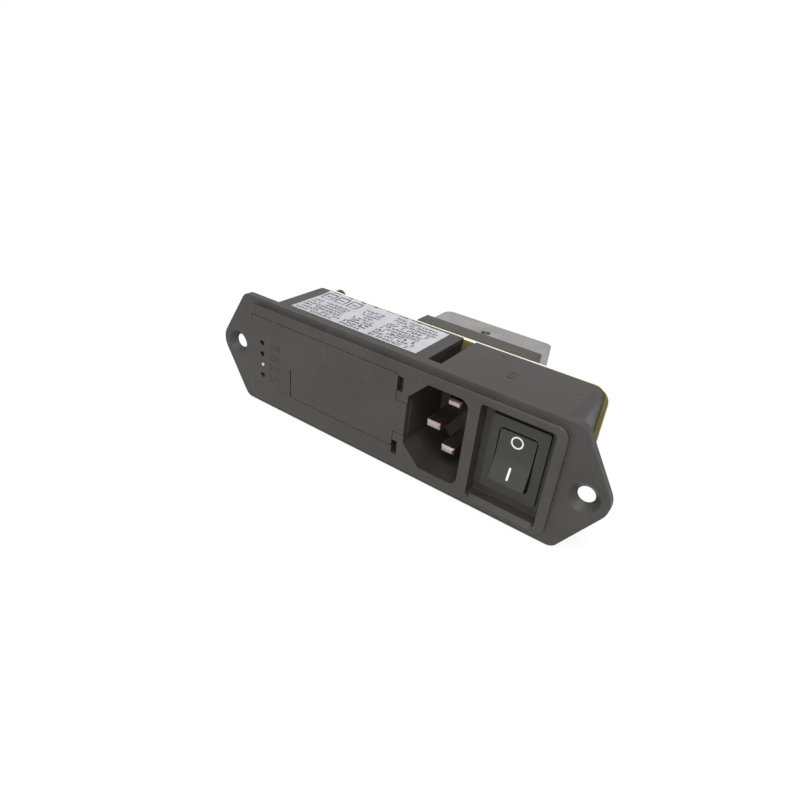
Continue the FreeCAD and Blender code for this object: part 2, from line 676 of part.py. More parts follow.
def make_fuse_block():
    """The block behind the cover, with a trough for each fuse and cores at both ends."""
    left, right = fuse_left + s.fit, fuse_right - s.fit
    low, high = bay_bottom + s.fit, bay_top - s.fit
    trough = s.fuse_bore + s.fit
    half = s.fuse_length / 2 + s.fit
    solid = block("block_solid", (left, right), (cover_back, block_back), (low, high))
    cuts = []
    for name, z in fuse_heights.items():
        cuts.append(rod(f"trough_{name}", trough, half * 2, fuse_mid_x - half, fuse_y, z, AXIS_X))
        cuts.append(block(f"mouth_{name}", (fuse_mid_x - half, fuse_mid_x + half), (fuse_y, block_back),
                          (z - trough / 2, z + trough / 2)))
    core_y = (cover_back + s.wall, block_back)
    core_z = (low + s.wall, high - s.wall)
    for name, start, end in (("left", left, fuse_mid_x - half), ("right", fuse_mid_x + half, right)):
        cuts.append(block(f"core_{name}", (start + s.wall, end - s.wall), core_y, core_z))
    seat = cover_back + s.boss_rise
    cuts.append(rod("boss_seat", s.screw_boss + s.fit, s.boss_rise, fuse_mid_x, cover_back, fuse_mid_z))
    cuts.append(rod("screw_way", s.screw_bore, block_back - seat, fuse_mid_x, seat, fuse_mid_z))
    cuts.append(rod("screw_access", s.screw_head + s.fit, block_back - seat - s.wall, fuse_mid_x,
                    seat + s.wall, fuse_mid_z))
    return minus("fuse_block", solid, cuts)


def make_screw():
    """The screw that holds the fuse block to the cover, with a cross recess left to its finish."""
    seat = cover_back + s.boss_rise
    head = rod("screw_head_disc", s.screw_head, s.screw_rise, fuse_mid_x, seat + s.wall, fuse_mid_z)
    shank = rod("screw_shank", s.screw_bore, s.boss_rise + s.wall, fuse_mid_x, cover_back, fuse_mid_z)
    drive = block("screw_slot", (fuse_mid_x - s.screw_head / 2, fuse_mid_x + s.screw_head / 2),
                  (seat + s.wall + s.screw_rise / 2, seat + s.wall + s.screw_rise),
                  (fuse_mid_z - s.leaf / 2, fuse_mid_z + s.leaf / 2))
    return minus("block_screw", fused("screw_solid", [head, shank]), [drive])


def make_fuse(name, z):
    """A glass tube between its two end caps."""
    half = s.fuse_length / 2
    tube_half = half - s.fuse_cap
    tube = rod(f"fuse_tube_{name}", s.fuse_glass, tube_half * 2, fuse_mid_x - tube_half, fuse_y, z, AXIS_X)
    caps = [rod(f"fuse_cap_{name}_{side}", s.fuse_bore, s.fuse_cap, start, fuse_y, z, AXIS_X)
            for side, start in (("left", fuse_mid_x - half), ("right", fuse_mid_x + tube_half))]
    return [tube, grouped(f"fuse_caps_{name}", caps)]


def make_fuse_contact(name, x, z):
    """A leaf bent into an arch behind a fuse cap, with a tail to the board."""
    crown = fuse_y + s.fuse_bore / 2 + s.fit
    body = new_body(name)
    foot, top = s.arch_foot / 2, s.arch_top / 2
    thin = s.leaf
    inner_foot = foot - thin - thin / 2
    outline = [(x - foot, bay_floor, 0), (x + foot, bay_floor, 0), (x + top, crown, 0), (x - top, crown, 0)]
    hollow = [(x - inner_foot, bay_floor - thin, 0), (x + inner_foot, bay_floor - thin, 0),
              (x + top - thin / 2, crown + thin, 0), (x - top + thin / 2, crown + thin, 0)]
    pad(body, f"{name}_arch", z - s.arch_wide / 2, s.arch_wide, [outline, hollow], plane="XY")
    pad_tail(body, name, x, z, bay_floor - thin / 2)
    return body


def make_card_contact(name, z):
    """A fork that grips the selector card's rear edge, with a tail to the board."""
    body = new_body(name)
    x = -s.window_at
    half = s.card_thick / 2
    outer = half + s.leaf
    grip = bay_floor - s.card_bay
    root = bay_floor - s.leaf
    fork = [(x - outer, grip, 0), (x - half, grip, 0), (x - half, root, 0), (x + half, root, 0),
            (x + half, grip, 0), (x + outer, grip, 0), (x + outer, bay_floor, 0), (x - outer, bay_floor, 0)]
    pad(body, f"{name}_fork", z - s.tail_wide, s.tail_wide * 2, [fork], plane="XY")
    pad_tail(body, name, x, z, bay_floor - s.leaf / 2)
    return body


def make_selector():
    """The selector card on edge in its bay, and the pin that shows in one window."""
    half = s.card_thick / 2
    front = cover_back + s.seam
    card = block("selector_card", (-s.window_at - half, -s.window_at + half), (front, bay_floor - s.leaf),
                 (bay_bottom + s.fit, bay_top - s.fit))
    z = -s.window_drop - s.window_pitch / 2
    stem = rod("indicator_stem", s.pin_round, front - face_y - s.fit, -s.window_at, face_y + s.fit, z)
    grip = half + s.leaf
    foot = block("indicator_foot", (-s.window_at - grip, -s.window_at + grip),
                 (front - s.leaf / 2, front + s.wall), (z - s.pin_round, z + s.pin_round))
    way = block("indicator_way", (-s.window_at - half, -s.window_at + half), (front, front + s.wall),
                (z - s.pin_round, z + s.pin_round))
    return [card, minus("indicator_pin", fused("indicator_solid", [stem, foot]), [way])]


def make_pin(name, x, z, setback):
    """A flat contact pin with a tapered tip, through the cavity floor to a solder tail."""
    body = new_body(name)
    start = face_y + setback
    pad(body, f"{name}_blade", start, cavity_back - start, [pin_section(x, z)])
    bevel_edges(body, f"{name}_tip", s.pin_tip, lambda middle: abs(middle.y - start.number) < edge_close)
    pad_tail(body, name, x, z, cavity_back - s.wall / 2)
    return body


def make_switch_body():
    """The switch's frame and its open box, with bearings for the rocker."""
    x = s.recess_at
    body = new_body("switch_body")
    box_end = recess_floor + s.body_depth
    half_x, half_z = s.frame_width / 2, s.frame_height / 2
    frame = rectangle((x - half_x, x + half_x), (-half_z, half_z), s.small_round)
    pad(body, "frame_plate", frame_face, s.frame_thick, [frame])
    half_x, half_z = s.body_width / 2, s.body_height / 2
    box = rectangle((x - half_x, x + half_x), (-half_z, half_z))
    pad(body, "switch_box", recess_floor, s.body_depth, [box])
    half_x, half_z = s.rocker_width / 2 + s.rocker_gap, s.rocker_reach + s.rocker_gap
    window = rectangle((x - half_x, x + half_x), (-half_z, half_z), s.rocker_round)
    pocket(body, "switch_inside", frame_face, s.frame_thick + s.body_depth - s.wall, [window])
    half = s.body_width / 2 - s.fit
    bearing = (pivot_y, 0, s.pivot_bore + s.fit)
    pocket(body, "bearings", x - half, half * 2, circles=[bearing], plane="YZ")
    pocket(body, "terminal_slots", box_end - s.wall - s.bite, s.wall + s.bite,
           [tail_hole(across, up) for across, up in switch_points])
    return body


def make_rocker():
    """The rocker: a dipped face, ends round about the pivot, pivot stubs and plunger bosses."""
    half = s.rocker_width / 2
    reach = s.rocker_reach
    past = reach + s.leaf
    front, back = -s.rocker_front, s.rocker_back
    body = new_body("rocker_profile")
    profile = [(front, past, 0), (front + s.rocker_dip, 0, s.rocker_curve), (front, -past, 0),
               (back, -past, 0), (back, past, 0)]
    pad(body, "rocker_face", -half, s.rocker_width, [profile], plane="YZ")
    sweep = rod("rocker_sweep", reach * 2, s.rocker_width, -half, 0, 0, AXIS_X)
    plan = new_body("rocker_plan")
    over = reach + s.bite
    pad(plan, "rocker_outline", front, back - front, [rectangle((-half, half), (-over, over), s.rocker_round)])
    faced = doc.addObject("Part::MultiCommon", "rocker_faced")
    faced.Shapes = [body, sweep, plan]
    stub_half = s.body_width / 2 - s.seam
    stubs = rod("rocker_stubs", s.pivot_bore, stub_half * 2, -stub_half, 0, 0, AXIS_X)
    root = s.rocker_back - s.pin_tip
    long = s.boss_long + s.pin_tip
    bosses, ways = [], []
    for index, x in enumerate(poles):
        across = x - s.recess_at
        bosses.append(rod(f"plunger_boss_{index}", s.boss_bore, long, across, root, 0))
        ways.append(rod(f"plunger_way_{index}", s.plunger_bore + s.fit, long, across, root, 0))
    solid = fused("rocker_solid", [faced, stubs, *bosses])
    return turned(minus("rocker", solid, ways), pivot_y, -s.rocker_tilt)


def make_plungers():
    """The sprung plungers in the rocker's bosses, with tapered tips."""
    tip = s.plunger_bore / 2
    root = s.rocker_back - s.pin_tip
    pieces = []
    for index, x in enumerate(poles):
        across = x - s.recess_at
        stem = rod(f"plunger_stem_{index}", s.plunger_bore, s.plunger_reach - root - tip, across, root, 0)
        point = cone(f"plunger_tip_{index}", s.plunger_bore, tip, tip, across, s.plunger_reach - tip)
        pieces.append(fused(f"plunger_{index}", [stem, point]))
    return turned(grouped("switch_plungers", pieces), pivot_y, -s.rocker_tilt)


def make_blades():
    """The two switch blades that the plungers tip over, each on a ridge along its axis."""
    half = s.leaf / 2
    pieces = []
    for index, x in enumerate(poles):
        left = x - s.recess_at - s.blade_wide / 2
        strip = block(f"blade_strip_{index}", (left, left + s.blade_wide), (-half, half),
                      (-s.blade_span / 2, s.blade_span / 2))
        ridge = rod(f"blade_ridge_{index}", s.blade_ridge, s.blade_wide, left, 0, 0, AXIS_X)
        pieces.append(fused(f"switch_blade_{index}", [strip, ridge]))
    return turned(grouped("switch_blades", pieces), blade_y, s.blade_tilt)


def turned(thing, y, angle):
    """Tilt a piece about the X axis and put its axis at a depth in the switch."""
    thing.Placement = FreeCAD.Placement(ORIGIN, FreeCAD.Rotation(AXIS_X, dim(angle).number))
    return place(thing, s.recess_at, y, 0)


def make_terminals():
    """The fixed contacts: a support under each blade and a contact at its upper end."""
    pieces = []
    for index, (x, z) in enumerate(switch_points):
        upper = z.number > 0
        start = blade_y + (s.contact_gap if upper else s.leaf)
        leg = tail(f"contact_leg_{index}", x, z, start + s.leaf / 2, tail_end)
        if upper:
            head = rod(f"contact_disc_{index}", s.contact_bore, s.leaf, x, start, z)
        else:
            head = block(f"contact_saddle_{index}", (x - s.blade_wide / 2, x + s.blade_wide / 2),
                         (start, start + s.leaf), (z - s.leaf, z + s.leaf))
        pieces.append(fused(f"terminal_{index}", [head, leg]))
    return grouped("switch_terminals", pieces)


def make_board():
    """The circuit board with holes for the stakes and every solder tail."""
    body = new_body("circuit_board")
    half = s.board_height / 2
    tails = [(x, z) for x, z, _ in pins.values()] + bay_tails + switch_points
    outline = rectangle((-s.board_left, s.board_right), (-half, half), s.board_corner)
    slots = [tail_hole(x, z) for x, z in tails]
    wide, tall = half_tail_z + s.tail_gap, half_tail_x + s.tail_gap
    slots += [rectangle((x - wide, x + wide), (z - tall, z + tall)) for x, z in rear_tails]
    stake_holes = [(x, z, s.stake_bore) for x, z in stakes]
    pad(body, "board_plate", board_y, s.board_thick, [outline, *slots], stake_holes)
    return body


def make_filter():
    """The metal filter can and the moulded base that seats it on the board."""
    half = s.base_height / 2
    can_front = board_back + s.base_depth
    outer = block("filter_base_box", (base_left, s.base_right), (board_back, can_front), (-half, half))
    hollow = block("filter_base_hollow", (base_left + s.wall, s.base_right - s.wall),
                   (board_back, can_front - s.wall), (-half + s.wall, half - s.wall))
    can = new_body("filter_can")
    half = s.can_height / 2
    can_end = can_front + s.can_depth
    shell = [(-s.can_left, can_front, 0), (s.base_right, can_front, 0), (s.base_right, can_end, s.can_corner),
             (-s.can_left, can_end, s.can_corner)]
    pad(can, "can_shell", -half, s.can_height, [shell], plane="XY")
    dimple = (s.dimple_at, can_front + s.dimple_back, s.dimple_bore)
    pocket(can, "can_dimple", half - s.dimple_deep, s.dimple_deep, circles=[dimple], plane="XY")
    tray = rounded("filter_base_tray", outer, AXIS_Y, s.edge_round)
    return [minus("filter_base", tray, [hollow]), can]


def make_output_tab(name, x):
    """A quick-connect tab on the board's back: a bevelled end, a hole and a leg through the board."""
    body = new_body(name)
    z = -s.blade_drop
    half = s.blade_tab / 2
    end = board_back + s.blade_long
    cut = s.blade_bevel
    side = x - s.blade_thick / 2
    plate = [(board_back, z - half, 0), (end - cut, z - half, 0), (end, z - half + cut, 0),
             (end, z + half - cut, 0), (end - cut, z + half, 0), (board_back, z + half, 0)]
    pad(body, f"{name}_plate", side, s.blade_thick, [plate], plane="YZ")
    hole = (board_back + s.blade_long / 2, z, s.blade_hole)
    pocket(body, f"{name}_hole", side, s.blade_thick, circles=[hole], plane="YZ")
    leg = rectangle((side, side + s.blade_thick), (z - half_tail_x, z + half_tail_x))
    pad(body, f"{name}_leg", board_y - s.tail_out, s.board_thick + s.tail_out + s.bite, [leg])
    return body


def make_label():
    """The rating label on top of the box, left bare."""
    return block("rating_label", (-s.label_left, s.label_right), (s.slot_front, s.box_depth - s.label_back),
                 (box_z, box_z + s.label_thick))


parts = [make_housing(), make_cover(), make_fuse_block(), make_screw()]
for fuse_name, fuse_z in fuse_heights.items():
    parts += make_fuse(fuse_name, fuse_z)
contacts = [make_fuse_contact(f"fuse_contact_{index}", x, z) for index, (x, z) in enumerate(bay_tails[:4])]
parts.append(grouped("fuse_contacts", contacts))
forks = [make_card_contact(f"card_contact_{index}", z) for index, z in enumerate(card_contacts_z)]
parts.append(grouped("card_contacts", forks))
parts += make_selector()
parts += [make_pin(name, *spot) for name, spot in pins.items()]
parts += [make_switch_body(), make_rocker(), make_plungers(), make_blades(), make_terminals()]
parts += [make_board(), *make_filter()]
tabs = [make_output_tab(f"output_tab_{index}", x) for index, x in enumerate(blade_xs)]
parts.append(grouped("output_tabs", tabs))
parts.append(make_label())
doc.recompute()

for thing in doc.Objects:
    if "Invalid" in thing.State or "Error" in thing.State:
        raise RuntimeError(f"{thing.Label} did not recompute: {thing.State}")
os.makedirs("parts", exist_ok=True)
for part in parts:
    if part.Shape.isNull() or not part.Shape.isValid():
        raise RuntimeError(f"{part.Label} has no valid shape")
    part.Shape.exportStep(f"parts/{part.Label}.step")
    print(part.Label, len(part.Shape.Solids), round(part.Shape.Volume, 1))
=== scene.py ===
import math

import bmesh
import bpy
import numpy as np
from mathutils import Matrix, Vector


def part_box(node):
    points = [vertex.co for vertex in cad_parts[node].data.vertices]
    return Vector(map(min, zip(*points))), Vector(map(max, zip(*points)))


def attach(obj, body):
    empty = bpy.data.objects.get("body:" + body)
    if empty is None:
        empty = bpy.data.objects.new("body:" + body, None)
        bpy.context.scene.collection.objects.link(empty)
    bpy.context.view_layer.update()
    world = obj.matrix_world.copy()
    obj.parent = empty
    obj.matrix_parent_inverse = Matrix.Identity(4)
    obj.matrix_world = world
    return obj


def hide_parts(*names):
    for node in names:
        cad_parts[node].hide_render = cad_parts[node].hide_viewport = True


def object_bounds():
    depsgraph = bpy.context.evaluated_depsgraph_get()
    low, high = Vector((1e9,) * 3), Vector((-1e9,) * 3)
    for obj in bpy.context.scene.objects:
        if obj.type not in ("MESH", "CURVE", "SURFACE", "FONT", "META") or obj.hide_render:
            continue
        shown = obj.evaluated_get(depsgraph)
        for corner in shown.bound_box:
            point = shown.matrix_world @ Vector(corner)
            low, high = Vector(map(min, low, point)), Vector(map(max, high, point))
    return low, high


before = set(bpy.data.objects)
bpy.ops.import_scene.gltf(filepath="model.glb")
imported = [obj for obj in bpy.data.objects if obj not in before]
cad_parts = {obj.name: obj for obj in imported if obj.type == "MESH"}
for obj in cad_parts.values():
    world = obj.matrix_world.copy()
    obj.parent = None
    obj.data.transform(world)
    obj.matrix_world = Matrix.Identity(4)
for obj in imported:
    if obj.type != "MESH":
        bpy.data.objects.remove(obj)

CAD_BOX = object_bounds()


# The view
# The photo looks down on the module from its front right, in a square frame of 800 pixels.
# The camera stands where the flange, the screw holes and the pins fall on the photo's own.

FRAME_PIXELS = 800
FOCAL_PIXELS = 591.14
SENSOR = 36.0
CAMERA_AT = Vector((0.07464, -0.11267, 0.07955))
CAMERA_RIGHT = Vector((0.81274, 0.57499, 0.09403))
CAMERA_UP = Vector((-0.35584, 0.36208, 0.86156))

lens = bpy.data.cameras.new("photo_camera")
lens.sensor_width = SENSOR
lens.lens = FOCAL_PIXELS / FRAME_PIXELS * SENSOR
lens.clip_start = 0.01
lens.clip_end = 20.0
camera = bpy.data.objects.new("photo_camera", lens)
turn = Matrix((CAMERA_RIGHT, CAMERA_UP, CAMERA_RIGHT.cross(CAMERA_UP))).transposed()
camera.matrix_world = Matrix.Translation(CAMERA_AT) @ turn.to_4x4()
bpy.context.scene.collection.objects.link(camera)
bpy.context.scene.camera = camera


# Housing
# One moulding in black glass-filled plastic: flange, raised land, box, the inlet's mouth, the fuse
# bay and the switch recess. The tool's spark texture shows all over, the edges are rubbed paler,
# and small mould marks stand on the top and underneath.

MM = 0.001
HOUSING_DARK = (0.0228, 0.0208, 0.0188)
HOUSING_LIGHT = (0.0325, 0.0299, 0.0273)
HOUSING_RUBBED = (0.092, 0.085, 0.079)
HOUSING_ROUGH = 0.5
EDGE_SOFT = 0.22 * MM
SHARP_ANGLE = math.radians(28)
WELD = 0.001 * MM
DOUBLES_APART = 1e-8
NOISE_SPAN = (0.3, 0.7)
SPECK_SCALE = 2600.0
CLOUD_SCALE = 90.0
PATCH_SCALE = 240.0
PORE_DEPTH = 0.012 * MM
SWELL_DEPTH = 0.03 * MM


def wire(tree, socket, value):
    """Set a socket, or link it where the value is another socket."""
    if isinstance(value, bpy.types.NodeSocket):
        tree.links.new(value, socket)
    else:
        socket.default_value = (*value, 1.0) if socket.type == "RGBA" and len(value) == 3 else value


def node(tree, kind, inputs=None, **settings):
    """A shader node with its settings, and each input set or linked by its name or number."""
    made = tree.nodes.new(f"ShaderNode{kind}")
    for key, value in settings.items():
        setattr(made, key, value)
    for key, value in (inputs or {}).items():
        wire(tree, made.inputs[key], value)
    return made


def new_material(name):
    """A material, its tree and its shader."""
    made = bpy.data.materials.new(name)
    made.use_nodes = True
    shader = next(item for item in made.node_tree.nodes if item.type == "BSDF_PRINCIPLED")
    return made, made.node_tree, shader


def remap(tree, value, span, result):
    """A value taken from one span to another, and held at its ends."""
    inputs = {0: value, 1: span[0], 2: span[1], 3: result[0], 4: result[1]}
    return node(tree, "MapRange", inputs).outputs[0]


def blend(tree, share, one, two):
    """Two colours mixed by a share."""
    return node(tree, "Mix", {0: share, 6: one, 7: two}, data_type="RGBA").outputs[2]


def mottled(tree, mask, dark, light):
    """Two colours mixed by a noise, over the span that a noise fills."""
    return blend(tree, remap(tree, mask, NOISE_SPAN, (0.0, 1.0)), dark, light)


def noise(tree, where, scale, detail=3.0):
    """A noise value."""
    inputs = {"Vector": where, "Scale": scale, "Detail": detail, "Roughness": 0.58}
    return node(tree, "TexNoise", inputs).outputs["Fac"]


def raised(tree, height, depth, normal=None):
    """A normal with a height's relief of a depth in metres."""
    made = node(tree, "Bump", {"Height": height, "Distance": depth, "Strength": 0.6})
    if normal is not None:
        wire(tree, made.inputs["Normal"], normal)
    return made.outputs["Normal"]


def effect(name, inputs, outputs):
    """A node group with named inputs (name, kind, value) and outputs (name, kind)."""
    group = bpy.data.node_groups.new(name, "ShaderNodeTree")
    for label, kind, value in inputs:
        socket = group.interface.new_socket(label, in_out="INPUT", socket_type=f"NodeSocket{kind}")
        socket.default_value = value
    for label, kind in outputs:
        group.interface.new_socket(label, in_out="OUTPUT", socket_type=f"NodeSocket{kind}")
    start = group.nodes.new("NodeGroupInput")
    end = group.nodes.new("NodeGroupOutput")
    return group, start.outputs, end.inputs


def use(tree, group, **values):
    """A group placed in a material with its own values; an underscore stands for a space."""
    made = tree.nodes.new("ShaderNodeGroup")
    made.node_tree = group
    for key, value in values.items():
        wire(tree, made.inputs[key.replace("_", " ")], value)
    return made.outputs


def make_grain():
    """Two noises on the object's own place: a fine speck and a broad cloud."""
    inputs = [("Fine Scale", "Float", SPECK_SCALE), ("Cloud Scale", "Float", CLOUD_SCALE)]
    group, given, result = effect("grain", inputs, [("Speck", "Float"), ("Cloud", "Float")])
    where = node(group, "TexCoord").outputs["Object"]
    wire(group, result["Speck"], noise(group, where, given["Fine Scale"], 2.0))
    wire(group, result["Cloud"], noise(group, where, given["Cloud Scale"], 4.0))
    return group


def make_edge_wear():
    """A normal rounded at the edges, and a broken mask of how near an edge a point is."""
    inputs = [("Radius", "Float", EDGE_SOFT), ("Patches", "Float", PATCH_SCALE)]
    group, given, result = effect("edge_wear", inputs, [("Normal", "Vector"), ("Mask", "Float")])
    soft = node(group, "Bevel", {"Radius": given["Radius"]}, samples=4).outputs["Normal"]
    plain = node(group, "NewGeometry").outputs["Normal"]
    facing = node(group, "VectorMath", {0: soft, 1: plain}, operation="DOT_PRODUCT").outputs["Value"]
    near = remap(group, facing, (0.995, 0.86), (0.0, 1.0))
    where = node(group, "TexCoord").outputs["Object"]
    broken = remap(group, noise(group, where, given["Patches"]), (0.35, 0.7), (0.15, 0.8))
    mask = node(group, "Math", {0: near, 1: broken}, operation="MULTIPLY").outputs[0]
    wire(group, result["Normal"], soft)
    wire(group, result["Mask"], mask)
    return group


grain = make_grain()
edge_wear = make_edge_wear()


def moulded_plastic(name, dark, light, rubbed, rough, pore=PORE_DEPTH, fine=SPECK_SCALE):
    """Satin moulded plastic: clouded colour, spark grain, and edges rubbed paler."""
    made, tree, shader = new_material(name)
    texture = use(tree, grain, Fine_Scale=fine, Cloud_Scale=CLOUD_SCALE)
    edges = use(tree, edge_wear, Radius=EDGE_SOFT)
    body = mottled(tree, texture["Cloud"], dark, light)
    flecked = blend(tree, remap(tree, texture["Speck"], (0.6, 0.8), (0.0, 0.4)), body, rubbed)
    wire(tree, shader.inputs["Base Color"], blend(tree, edges["Mask"], flecked, rubbed))
    gloss = remap(tree, texture["Cloud"], NOISE_SPAN, (rough - 0.05, rough + 0.07))
    wire(tree, shader.inputs["Roughness"], gloss)
    pores = raised(tree, texture["Speck"], pore, edges["Normal"])
    wire(tree, shader.inputs["Normal"], raised(tree, texture["Cloud"], SWELL_DEPTH, pores))
    shader.inputs["Specular IOR Level"].default_value = 0.4
    return made


def make_smooth_rounds():
    """A modifier group that welds a mesh and shades it smooth, but for edges over the sharp angle."""
    group = bpy.data.node_groups.new("smooth_rounds", "GeometryNodeTree")
    group.interface.new_socket("Geometry", in_out="INPUT", socket_type="NodeSocketGeometry")
    group.interface.new_socket("Geometry", in_out="OUTPUT", socket_type="NodeSocketGeometry")
    start, end = group.nodes.new("NodeGroupInput"), group.nodes.new("NodeGroupOutput")
    weld = group.nodes.new("GeometryNodeMergeByDistance")
    weld.inputs["Distance"].default_value = WELD
    faces = group.nodes.new("GeometryNodeSetShadeSmooth")
    edges = group.nodes.new("GeometryNodeSetShadeSmooth")
    edges.domain = "EDGE"
    angle = group.nodes.new("GeometryNodeInputMeshEdgeAngle")
    gentle = group.nodes.new("FunctionNodeCompare")
    gentle.operation = "LESS_THAN"
    gentle.inputs["B"].default_value = SHARP_ANGLE
    for source, target in ((start.outputs[0], weld.inputs["Geometry"]),
                           (weld.outputs["Geometry"], faces.inputs["Geometry"]),
                           (faces.outputs["Geometry"], edges.inputs["Geometry"]),
                           (angle.outputs["Unsigned Angle"], gentle.inputs["A"]),
                           (gentle.outputs["Result"], edges.inputs["Shade Smooth"]),
                           (edges.outputs["Geometry"], end.inputs[0])):
        group.links.new(source, target)
    return group


smooth_rounds = make_smooth_rounds()


def finish_node(material, *names):
    """Give CAD pieces their material, and smooth shading on their round faces."""
    for name in names:
        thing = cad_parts[name]
        for place in thing.material_slots:
            place.link = "OBJECT"
            place.material = material
        thing.modifiers.new("smooth_rounds", "NODES").node_group = smooth_rounds


def new_piece(name, points, faces, material, body, slot, smooth=True):
    """A piece at the origin from an array of points and rows of corner numbers, doubles merged."""
    data = bpy.data.meshes.new(name)
    data.from_pydata(points.reshape(-1, 3).tolist(), [], faces.tolist())
    mesh = bmesh.new()
    mesh.from_mesh(data)
    bmesh.ops.remove_doubles(mesh, verts=mesh.verts, dist=DOUBLES_APART)
    bmesh.ops.recalc_face_normals(mesh, faces=mesh.faces)
    mesh.to_mesh(data)
    mesh.free()
    data.polygons.foreach_set("use_smooth", np.full(len(data.polygons), smooth))
    data.materials.append(material)
    made = bpy.data.objects.new(name, data)
    bpy.context.scene.collection.objects.link(made)
    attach(made, body)
    return made


def grid_faces(shape, wrap_rows=False, wrap_columns=True):
    """Quads between neighbours on copies of a grid: shape is (copies, rows, columns)."""
    copies, rows, columns = shape
    row = np.arange(rows if wrap_rows else rows - 1)
    column = np.arange(columns if wrap_columns else columns - 1)
    start, row, column = np.meshgrid(np.arange(copies) * rows * columns, row, column, indexing="ij")
    below, beside = (row + 1) % rows * columns, (column + 1) % columns
    row = row * columns
    corners = [start + row + column, start + row + beside,
               start + below + beside, start + below + column]
    return np.stack(corners, axis=-1).reshape(-1, 4)


def turned(centres, axis, radii, heights, scales=None, steps=24):
    """Turned solids: each point is a centre, plus a radius around the axis and a height along it."""
    axis = np.asarray(axis, float)
    side = np.roll(axis, 1)
    other = np.cross(axis, side)
    angle = np.linspace(0, 2 * math.pi, steps, endpoint=False)
    around = np.outer(np.cos(angle), side) + np.outer(np.sin(angle), other)
    form = np.asarray(radii)[:, None, None] * around + (np.asarray(heights)[:, None] * axis)[:, None, :]
    scales = np.ones(len(centres)) if scales is None else np.asarray(scales)
    return np.asarray(centres)[:, None, None, :] + scales[:, None, None, None] * form


def raised_band(centre, half_sizes, stroke, rise, power, steps=48):
    """A closed band that stands on a level face, round a superellipse.

    The rim is the cosine and the sine of an angle, each with its sign and to a power, times the half
    sizes. The inner rim has the stroke taken off both, and the top lies the rise above them.
    """
    angle = np.linspace(0, 2 * math.pi, steps, endpoint=False)
    rim = np.stack([np.sign(np.cos(angle)) * np.abs(np.cos(angle)) ** power,
                    np.sign(np.sin(angle)) * np.abs(np.sin(angle)) ** power,
                    np.zeros(steps)], axis=1)
    outer = np.array([*half_sizes, 0.0])
    wide, thin = rim * outer, rim * (outer - stroke)
    lift = np.array([0.0, 0.0, rise])
    return np.asarray(centre) + np.stack([wide, wide + lift, thin + lift, thin], axis=1)


housing_black = moulded_plastic("housing_black", HOUSING_DARK, HOUSING_LIGHT, HOUSING_RUBBED,
                                HOUSING_ROUGH)
finish_node(housing_black, "housing")

BOX_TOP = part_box("rating_label")[0][2]
MARK_SINK = 0.02 * MM
MARK_AT = (27.1 * MM, 14.3 * MM, BOX_TOP - MARK_SINK)
MARK_HALF_SIZES = (0.9 * MM, 1.7 * MM)
MARK_STROKE = 0.35 * MM
MARK_RISE = 0.14 * MM
MARK_POWER = 0.3
GATES_AT = np.array([[20.4, 22.6, 0], [10.3, 4.8, 0], [44.0, 17.2, 0]]) * MM
GATE_SCALES = (1.0, 0.6, 0.8)
GATE_RADIUS = 0.45 * MM
GATE_RISE = 0.2 * MM
EJECTOR_X = np.array([-40, -14, 12, 38]) * MM
EJECTOR_Y = np.array([6, 19]) * MM
EJECTOR_OUTER, EJECTOR_INNER = 1.5 * MM, 1.3 * MM
EJECTOR_RISE = 0.05 * MM

mould_mark = raised_band(MARK_AT, MARK_HALF_SIZES, MARK_STROKE, MARK_RISE, MARK_POWER)[None]
new_piece("mould_mark", mould_mark, grid_faces(mould_mark.shape[:3], wrap_rows=True),
          housing_black, "base", "moulded_black", smooth=False)

quarter = np.linspace(0, math.pi / 2, 6)
gate_radii = [0, *GATE_RADIUS * np.cos(quarter)]
gate_heights = [0, *GATE_RISE * np.sin(quarter)]
gate_marks = turned(GATES_AT + (0, 0, BOX_TOP - MARK_SINK), (0, 0, 1), gate_radii, gate_heights,
                    scales=GATE_SCALES, steps=16)
new_piece("gate_marks", gate_marks, grid_faces(gate_marks.shape[:3]),
          housing_black, "base", "moulded_black")

ejector_x, ejector_y = (part.ravel() for part in np.meshgrid(EJECTOR_X, EJECTOR_Y))
ejectors = np.stack([ejector_x, ejector_y, np.full(ejector_x.size, MARK_SINK - BOX_TOP)], axis=1)
ejector_radii = [EJECTOR_INNER, EJECTOR_OUTER, EJECTOR_OUTER, EJECTOR_INNER]
ejector_heights = [0, 0, EJECTOR_RISE, EJECTOR_RISE]
ejector_rings = turned(ejectors, (0, 0, -1), ejector_radii, ejector_heights, steps=32)
new_piece("ejector_rings", ejector_rings, grid_faces(ejector_rings.shape[:3], wrap_rows=True),
          housing_black, "base", "moulded_black", smooth=False)


# Cover
# A moulded lid that pulls straight out with the fuses. Its row of windows shows the chosen voltage,
# with the numbers cut in beside them, and shallow moulded dashes run along its upper half.

COVER_FACE = Vector(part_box("cover")[0]).y
CUT_DEPTH = 0.16 * MM
FIGURE_BOW = 0.02 * MM
WINDOW_Z = (4.05 * MM, 0.55 * MM, -2.95 * MM, -6.45 * MM)
FIGURES = ("100", "120", "220", "240")
FIGURE_X = -40.9 * MM
FIGURE_TALL = 3.1 * MM
DASH_TALL = 0.9 * MM
DASH_SEED = 5
DASH_TRIES = 24
DASH_LENGTHS = (1.0, 3.4)

# Each row of dashes: its middle's height, then the x where it starts and the x where it ends.
DASH_ROWS = np.array([[8.0, -29.5, -1.0], [5.2, -28.0, -4.0], [2.4, -27.0, -11.0]]) * MM


